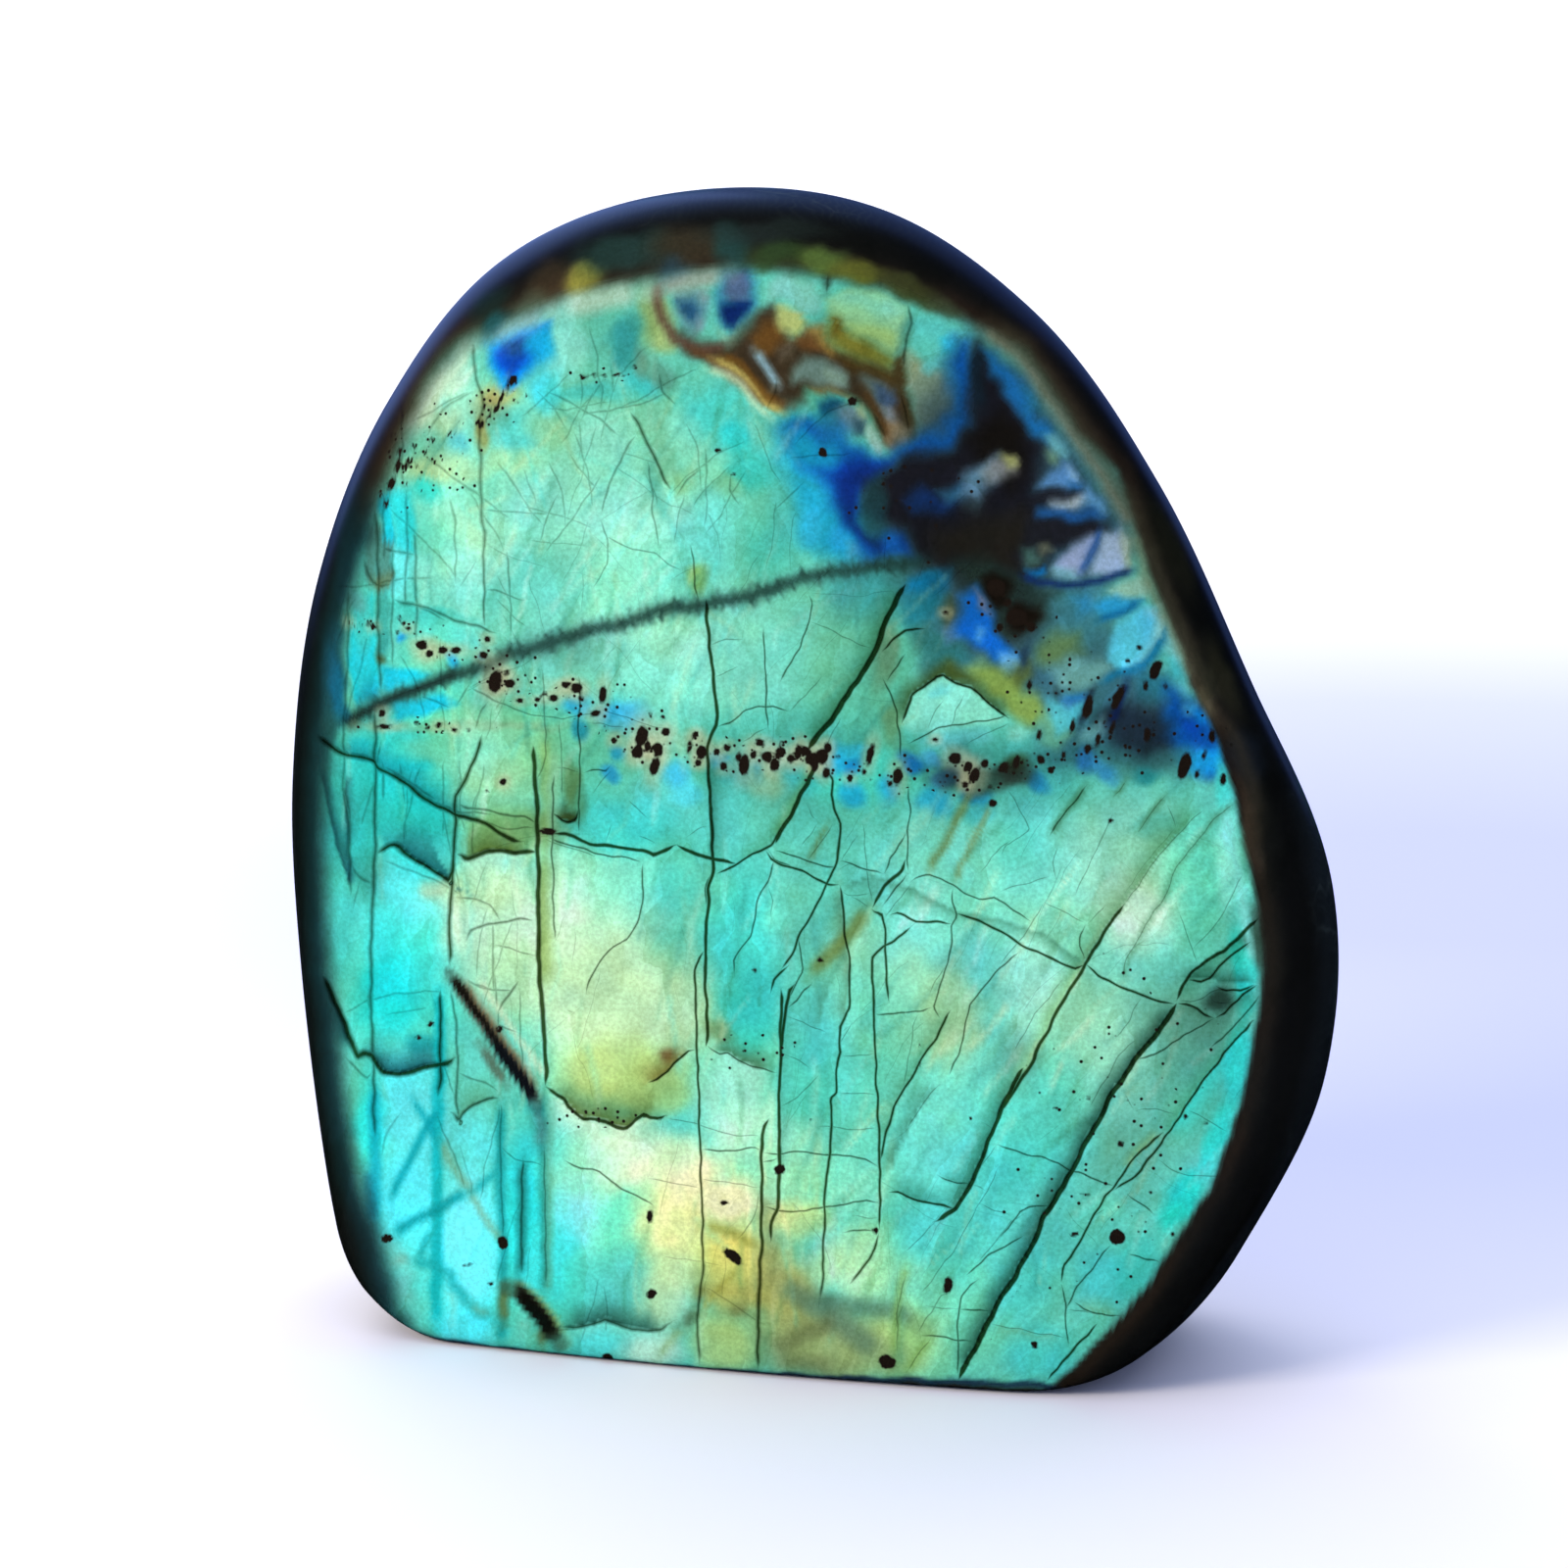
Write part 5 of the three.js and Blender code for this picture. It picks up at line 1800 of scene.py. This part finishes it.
for entry in speck_list:
    place, size, *turn = entry.split()
    (x, y), (wide, tall) = pair_of(place), pair_of(size)
    across, down = turned(seen_at - (x, y), float(turn[0]) if turn else 0.0)
    squared = (np.abs(across) / wide) ** SQUARENESS + (np.abs(down) / tall) ** SQUARENESS
    out = squared ** (1 / SQUARENESS)
    speck_depth = np.maximum(speck_depth, (1 - out) * min(wide, tall))
    in_long_row = 620 < y < 820 and x < 1000
    if in_long_row and 4 <= wide < 10:
        halo = np.flatnonzero(out < HALO_ENDS)
        dab(halo, 0.4 * smoothstep(-out[halo], -HALO_ENDS, -1.0), "#C8C49A")
print(len(speck_list), "specks")

# Rows of finer needles, drawn by the shader: each patch says how dense they are there.
DUST = """
430,470 60,50 0.5; 500,415 40,20 0.5; 620,382 34,7 0.7; 415,640 60,12 0.5; 500,668 40,14 0.5;
430,740 60,7 0.5; 520,695 30,18 0.7; 600,715 50,22 0.6; 660,755 40,26 0.7; 715,765 30,20 0.8;
790,772 60,20 0.9; 850,785 40,20 0.6; 920,790 40,22 0.7; 990,795 50,22 0.9; 1070,780 60,16 0.7;
1150,755 60,30 0.6; 1225,760 30,30 0.5; 1030,630 40,40 0.5; 1090,700 60,40 0.4; 950,500 90,60 0.2;
620,1140 60,16 0.5; 760,1070 50,16 0.5; 1130,1230 90,90 0.16; 1150,1100 90,120 0.12
"""
dust = np.zeros(len(seen))
for entry in DUST.split(";"):
    place, size, amount = entry.split()
    offset = (seen_at - pair_of(place)) / pair_of(size)
    reach = float(amount) * smoothstep(-np.hypot(*offset.T), -1.4, -0.4)
    dust = np.maximum(dust, reach)

# %% [markdown]
# ## Polished feldspar
# Feldspar takes a glassy polish, with an IOR of about 1.56. The eye sees the flash through a
# clear, sharp gloss, and a nearly black body stone where the flash ends.
# The painted colours and distances go onto the mesh as attributes. The shader then adds what is
# too fine to paint: the sharp cracks, the specks, the sandy grain and the lamellae.

# %% Carry the paint onto the mesh
def store(name, values, kind="FLOAT"):
    """Writes one value, or one row of numbers, for every point of the mesh."""
    attribute = stone_mesh.attributes.new(name, kind, "POINT")
    field = {"FLOAT": "value", "FLOAT_VECTOR": "vector", "FLOAT_COLOR": "color"}[kind]
    attribute.data.foreach_set(field, np.asarray(values, dtype=np.float32).ravel())


def on_all_points(values, default):
    whole = np.full((len(stone_points), *values.shape[1:]), default, dtype=float)
    whole[seen] = values
    return whole


UNPAINTED = 0.06
colours = np.ones((len(stone_points), 4))
colours[:, :3] = linear(np.clip(on_all_points(paint, UNPAINTED), 0, 1))
store("flash_colour", colours, "FLOAT_COLOR")
# Well outside the flash the paint gives way to the dark body of the stone.
near_flash = smoothstep(border, -85, -45)
store("paint_share", on_all_points(smoothstep(facing[seen], 0.02, 0.3) * near_flash, 0.0))
store("flash_share", on_all_points(in_flash, 0.0))
store("speck_depth", on_all_points(speck_depth, NO_SPECK))
store("line_blur", on_all_points(line_blur, 2.0))
store("dust", on_all_points(dust, 0.0))
# Across and along the cleavage: upright at the left, fanned out at the right round one root.
FAN_ROOT = np.array([740.0, 1780.0])
FAN_REACH = 900.0
PIXELS_PER_MM = 12
CLEAVAGE_UNIT = 100  # pixels in one unit of the cleavage's own measure
from_root = in_picture(stone_points) - FAN_ROOT
rightward_of_root = np.maximum(from_root[:, 0], 0)
fanned = FAN_REACH * np.arctan2(rightward_of_root, -from_root[:, 1])
across = np.minimum(from_root[:, 0], 0) + fanned
along = np.hypot(rightward_of_root, from_root[:, 1])
into = stone_points[:, 1] * PIXELS_PER_MM
store("cleavage_place", np.stack([across, along, into], -1) / CLEAVAGE_UNIT, "FLOAT_VECTOR")
LAYER_GROUPS = LAYERS // 3
for group in range(LAYER_GROUPS):
    three = slice(group * 3, group * 3 + 3)
    store(f"crack_side_{group}", on_all_points(crack_side[:, three], NO_CRACK), "FLOAT_VECTOR")
    store(f"crack_half_{group}", on_all_points(crack_half[:, three], 0.0), "FLOAT_VECTOR")
print(len(stone_mesh.attributes), "attributes on the stone")


# %% Helpers for the nodes
def add(tree, kind, inputs=(), **settings):
    """Adds a shader node with its settings. Inputs are values, or sockets that are linked to it."""
    node = tree.nodes.new("ShaderNode" + kind)
    for name, value in settings.items():
        setattr(node, name, value)
    for name, value in dict(inputs).items():
        if isinstance(value, bpy.types.NodeSocket):
            tree.links.new(value, node.inputs[name])
        else:
            node.inputs[name].default_value = value
    return node


feldspar = bpy.data.materials.new("polished_feldspar")
feldspar.use_nodes = True
tree = feldspar.node_tree
surface = tree.nodes["Principled BSDF"]
object_place = add(tree, "TexCoord").outputs["Object"]


def stored(name, output="Fac"):
    """What the points of the mesh store under this name."""
    return add(tree, "Attribute", attribute_name=name).outputs[output]


def number_node(operation, *values, **settings):
    return add(tree, "Math", enumerate(values), operation=operation, **settings).outputs[0]


def vector_node(operation, *values):
    return add(tree, "VectorMath", enumerate(values), operation=operation).outputs[0]


def remap(value, start, end, low=0.0, high=1.0):
    """Stretches the run from start to end onto the run from low to high, and stops at both."""
    inputs = {"Value": value, "From Min": start, "From Max": end, "To Min": low, "To Max": high}
    return add(tree, "MapRange", inputs, clamp=True).outputs[0]


def noise(size, **settings):
    """Noise whose bumps are about this size, in metres."""
    inputs = {"Vector": object_place, "Scale": 1 / size, **settings}
    return add(tree, "TexNoise", inputs).outputs["Fac"]


def colour_ramp(tree, share, stops):
    """Blends from colour to colour. Each stop is a share from 0 to 1 and its colour."""
    node = add(tree, "ValToRGB", {"Fac": share})
    elements = node.color_ramp.elements
    elements.remove(elements[1])
    elements[0].position = stops[0][0]
    elements[0].color = linear_rgba(stops[0][1])
    for position, colour in stops[1:]:
        elements.new(position).color = linear_rgba(colour)
    return node.outputs["Color"]


# %% Cracks in the shader
EDGE_SPREAD = 1.7  # how many blurs wide the fade at a crack's edge is
deepest = None
for group in range(LAYER_GROUPS):
    distance = vector_node("ABSOLUTE", stored(f"crack_side_{group}", "Vector"))
    inside = vector_node("SUBTRACT", stored(f"crack_half_{group}", "Vector"), distance)
    deepest = inside if deepest is None else vector_node("MAXIMUM", inside, deepest)
parts = add(tree, "SeparateXYZ", {0: deepest})
deep = number_node("MAXIMUM", parts.outputs[0], parts.outputs[1])
deep = number_node("MAXIMUM", deep, parts.outputs[2])
fade_width = number_node("MULTIPLY", stored("line_blur"), EDGE_SPREAD)
crack = number_node("DIVIDE", deep, fade_width, use_clamp=True)
print("crack layers in the shader:", LAYERS)

# %% Grain, specks and dust
GRAIN = 0.35 * MM  # the sandy grain of the flash, drawn a little coarser than the real 0.1 mm
RAGGED = 0.5 * MM
PATCHY = 6 * MM
DUST_CELL = 0.55 * MM
grain = noise(GRAIN, Detail=3.0, Roughness=0.65)
patchy = noise(PATCHY, Detail=4.0)
rough_edge = number_node("MULTIPLY_ADD", noise(RAGGED, Detail=2.0), 3.0, stored("speck_depth"))
speck_mask = remap(rough_edge, 0.9, 2.6)
needle = add(tree, "TexVoronoi", {"Vector": object_place, "Scale": 1 / DUST_CELL}, feature="F1")
needle_dice = add(tree, "SeparateColor", {0: needle.outputs["Color"]}).outputs[0]
chosen = number_node("LESS_THAN", needle_dice, stored("dust"))
small = remap(needle.outputs["Distance"], 0.34, 0.2)
dark_mask = number_node("MAXIMUM", speck_mask, number_node("MULTIPLY", chosen, small))
print("grain every", GRAIN / MM, "mm")

# %% Plates between the cleavage cracks
# Each sliver of stone between two cracks lies at its own angle and so has its own brightness.
PLATE_SIZES = ((1.3, 0.42, 0.1), (3.1, 0.9, 0.1))
cleavage = stored("cleavage_place", "Vector")
bend = add(tree, "TexNoise", {"Vector": cleavage, "Scale": 2.5, "Detail": 2.0}).outputs["Color"]
bent = vector_node("MULTIPLY_ADD", bend, (0.35, 0.35, 0.35), cleavage)
plate_tones = []
for size in PLATE_SIZES:
    stretched = vector_node("MULTIPLY", bent, size)
    plate = add(tree, "TexVoronoi", {"Vector": stretched, "Scale": 1.0}, feature="F1")
    plate_tones.append(add(tree, "SeparateColor", {0: plate.outputs["Color"]}).outputs[0])
plate_dark = remap(number_node("ADD", *plate_tones), 0.5, 1.5)
print("sizes of plates:", len(PLATE_SIZES))


# %% Colour of the stone
def mix(share, below, above, blend="MIX"):
    """Lays the colour above over the one below. Each is a hex value, or a socket that gives one."""
    node = add(tree, "Mix", {"Factor": share}, data_type="RGBA", blend_type=blend)
    colour_inputs = [i for i in node.inputs if i.type == "RGBA"]
    for socket, value in zip(colour_inputs, (below, above)):
        if isinstance(value, str):
            socket.default_value = linear_rgba(value)
        else:
            tree.links.new(value, socket)
    return [o for o in node.outputs if o.type == "RGBA"][0]


darker_grain = mix(remap(grain, 0.35, 0.65), "#E2E4DE", "#FFFFFF")
grained = mix(1.0, stored("flash_colour", "Color"), darker_grain, "MULTIPLY")
plated = mix(1.0, grained, mix(plate_dark, "#E6E9E0", "#FFFFFF"), "MULTIPLY")
cracked = mix(crack, plated, mix(1.0, plated, "#4A5438", "MULTIPLY"))
specked = mix(dark_mask, cracked, "#1A140E")
print("marks of the flash are mixed")

# %% The dark body of the stone
# Away from the flash the feldspar is grey-green to black. It shows fine lamellae, a web of
# healed cleavage and dim blue and teal patches, strongest on the back.
body_plain = mix(patchy, "#0C1114", "#1E2A30")
waves = {"Vector": bent, "Scale": 6.0, "Distortion": 1.2, "Detail": 2.0, "Detail Scale": 1.2}
lamellae = add(tree, "TexWave", waves).outputs["Fac"]
lined = mix(remap(lamellae, 0.6, 1.0, high=0.12), body_plain, "#4A5A58")
web_place = vector_node("MULTIPLY", bent, (0.9, 0.5, 0.9))
web = add(tree, "TexVoronoi", {"Vector": web_place, "Scale": 1.4}, feature="DISTANCE_TO_EDGE")
web_line = remap(web.outputs["Distance"], 0.016, 0.0, high=0.5)
web_share = number_node("MULTIPLY", web_line, remap(patchy, 0.46, 0.6))
webbed = mix(web_share, lined, "#465450")
DIM_PATCH = 17 * MM
DIM_COLOURS = [(0.44, "#12181A"), (0.54, "#1C3A30"), (0.63, "#1C7870"), (0.74, "#16508C")]
dim_colour = colour_ramp(tree, noise(DIM_PATCH, Detail=3.0, Distortion=0.6), DIM_COLOURS)
dim_tone = mix(1.0, dim_colour, mix(plate_dark, "#8A8A8A", "#FFFFFF"), "MULTIPLY")
behind = remap(add(tree, "SeparateXYZ", {0: cleavage}).outputs[2], -0.6, 1.4)
body_dark = mix(behind, webbed, mix(1.0, webbed, dim_tone, "ADD"))

# %% The finished material
FELDSPAR_IOR = 1.56
RIM_ROUGHNESS = 0.3
FLASH_ROUGHNESS = 0.12
roughness = remap(stored("flash_share"), 0.0, 1.0, RIM_ROUGHNESS, FLASH_ROUGHNESS)
tree.links.new(mix(stored("paint_share"), body_dark, specked), surface.inputs["Base Color"])
tree.links.new(roughness, surface.inputs["Roughness"])
surface.inputs["IOR"].default_value = FELDSPAR_IOR
stone_mesh.materials.append(feldspar)
print(len(tree.nodes), "nodes in the feldspar")

# %% [markdown]
# ## Studio
# The stone stands on a sheet of white paper in a bright white room. The sheet is a wide disc.
# A painted shadow makes the paper bluer and darker behind the stone, at its right, than anywhere else.
# A polished stone mirrors the whole room, and a white room in front of it would lay a grey haze
# over the flash. So the large lights are hidden from gloss, as a photographer hides them with
# black cards, and two gleam lights that only gloss can see give the rim its bluish edge.

# %% Floor
FLOOR_RADIUS = 8.0
FLOOR_CORNERS = 96
floor_mesh = bpy.data.meshes.new("floor")
circle = np.linspace(0, 2 * np.pi, FLOOR_CORNERS, endpoint=False)
rim = [(FLOOR_RADIUS * math.cos(t), FLOOR_RADIUS * math.sin(t), 0) for t in circle]
floor_mesh.from_pydata(rim, [], [list(range(FLOOR_CORNERS))])
floor = bpy.data.objects.new("floor", floor_mesh)
bpy.context.scene.collection.objects.link(floor)
floor.visible_glossy = False
paper = bpy.data.materials.new("paper_with_painted_shadow")
paper.use_nodes = True
sheet = paper.node_tree
# Round this spot behind the stone, at its right, the paper's colour is a painted shadow: bluer and
# darker near the spot, fading to white further away.
PAINTED_SHADOW_SPOT = (0.04, 0.18, 0)
PAINTED_SHADOW_ENDS = (0.03, 0.33)  # metres from the spot where the blue starts to fade, and where it is gone
PAPER_AND_PAINTED_SHADOW_COLOURS = [(0.0, "#C6CDF7"), (0.3, "#D6DCFA"), (0.55, "#F4F6FE"), (1.0, "#FFFFFF")]
on_paper = add(sheet, "TexCoord").outputs["Object"]
from_shadow_spot = add(sheet, "VectorMath", {0: on_paper, 1: PAINTED_SHADOW_SPOT}, operation="DISTANCE")
shadow_spot_range = {"Value": from_shadow_spot.outputs["Value"], "From Min": PAINTED_SHADOW_ENDS[0], "From Max": PAINTED_SHADOW_ENDS[1]}
out_of_shadow_share = add(sheet, "MapRange", shadow_spot_range, clamp=True).outputs[0]
paper_surface = sheet.nodes["Principled BSDF"]
paper_and_shadow_colour = colour_ramp(sheet, out_of_shadow_share, PAPER_AND_PAINTED_SHADOW_COLOURS)
sheet.links.new(paper_and_shadow_colour, paper_surface.inputs["Base Color"])
paper_surface.inputs["Roughness"].default_value = 0.8
paper_surface.inputs["Specular IOR Level"].default_value = 0.0
floor_mesh.materials.append(paper)
print("paper sheet", 2 * FLOOR_RADIUS, "m wide")

# %% Light
ROOM_STRENGTH = 0.76
world = bpy.data.worlds.new("room")
world.use_nodes = True
world.node_tree.nodes["Background"].inputs["Color"].default_value = linear_rgba("#C6D2FF")
world.node_tree.nodes["Background"].inputs["Strength"].default_value = ROOM_STRENGTH
world.cycles_visibility.glossy = False
bpy.context.scene.world = world
bpy.context.scene.view_settings.view_transform = "Standard"


def area_light(name, place, aim, size, watts, colour, gloss_only=False):
    """A rectangular light that either only gloss can see, or everything but gloss."""
    lamp = bpy.data.lights.new(name, "AREA")
    lamp.shape = "RECTANGLE"
    lamp.size, lamp.size_y = size
    lamp.energy = watts
    lamp.color = linear_rgba(colour)[:3]
    holder = bpy.data.objects.new(name, lamp)
    holder.location = place
    holder.rotation_euler = (Vector(place) - Vector(aim)).to_track_quat("Z", "Y").to_euler()
    holder.visible_camera = False
    holder.visible_glossy = gloss_only
    holder.visible_diffuse = not gloss_only
    lamp.use_shadow = not gloss_only
    bpy.context.scene.collection.objects.link(holder)


STONE_MIDDLE = (0, 0, 0.05)
area_light("window", (-1.0, 0.9, 1.3), STONE_MIDDLE, (1.1, 1.1), 7.6, "#FFF6E6")
area_light("front_softbox", (-0.62, -0.66, 0.5), STONE_MIDDLE, (0.35, 0.35), 7.4, "#FFEED6")
area_light("ceiling_light", (-0.3, -0.2, 1.5), (0, 0, 0), (1.6, 1.6), 5, "#FFF2DE")
area_light("back_wall_light", (0, 3.2, 2.2), (0, 3.0, 0), (5.0, 3.0), 100, "#FFFFFF")
area_light("edge_gleam", (-1.3, 1.5, 0.9), STONE_MIDDLE, (1.6, 1.6), 9, "#7C98E0", gloss_only=True)
area_light("wide_gleam", (-0.6, 1.7, 1.0), STONE_MIDDLE, (4.0, 2.4), 15, "#5C7CD8", gloss_only=True)
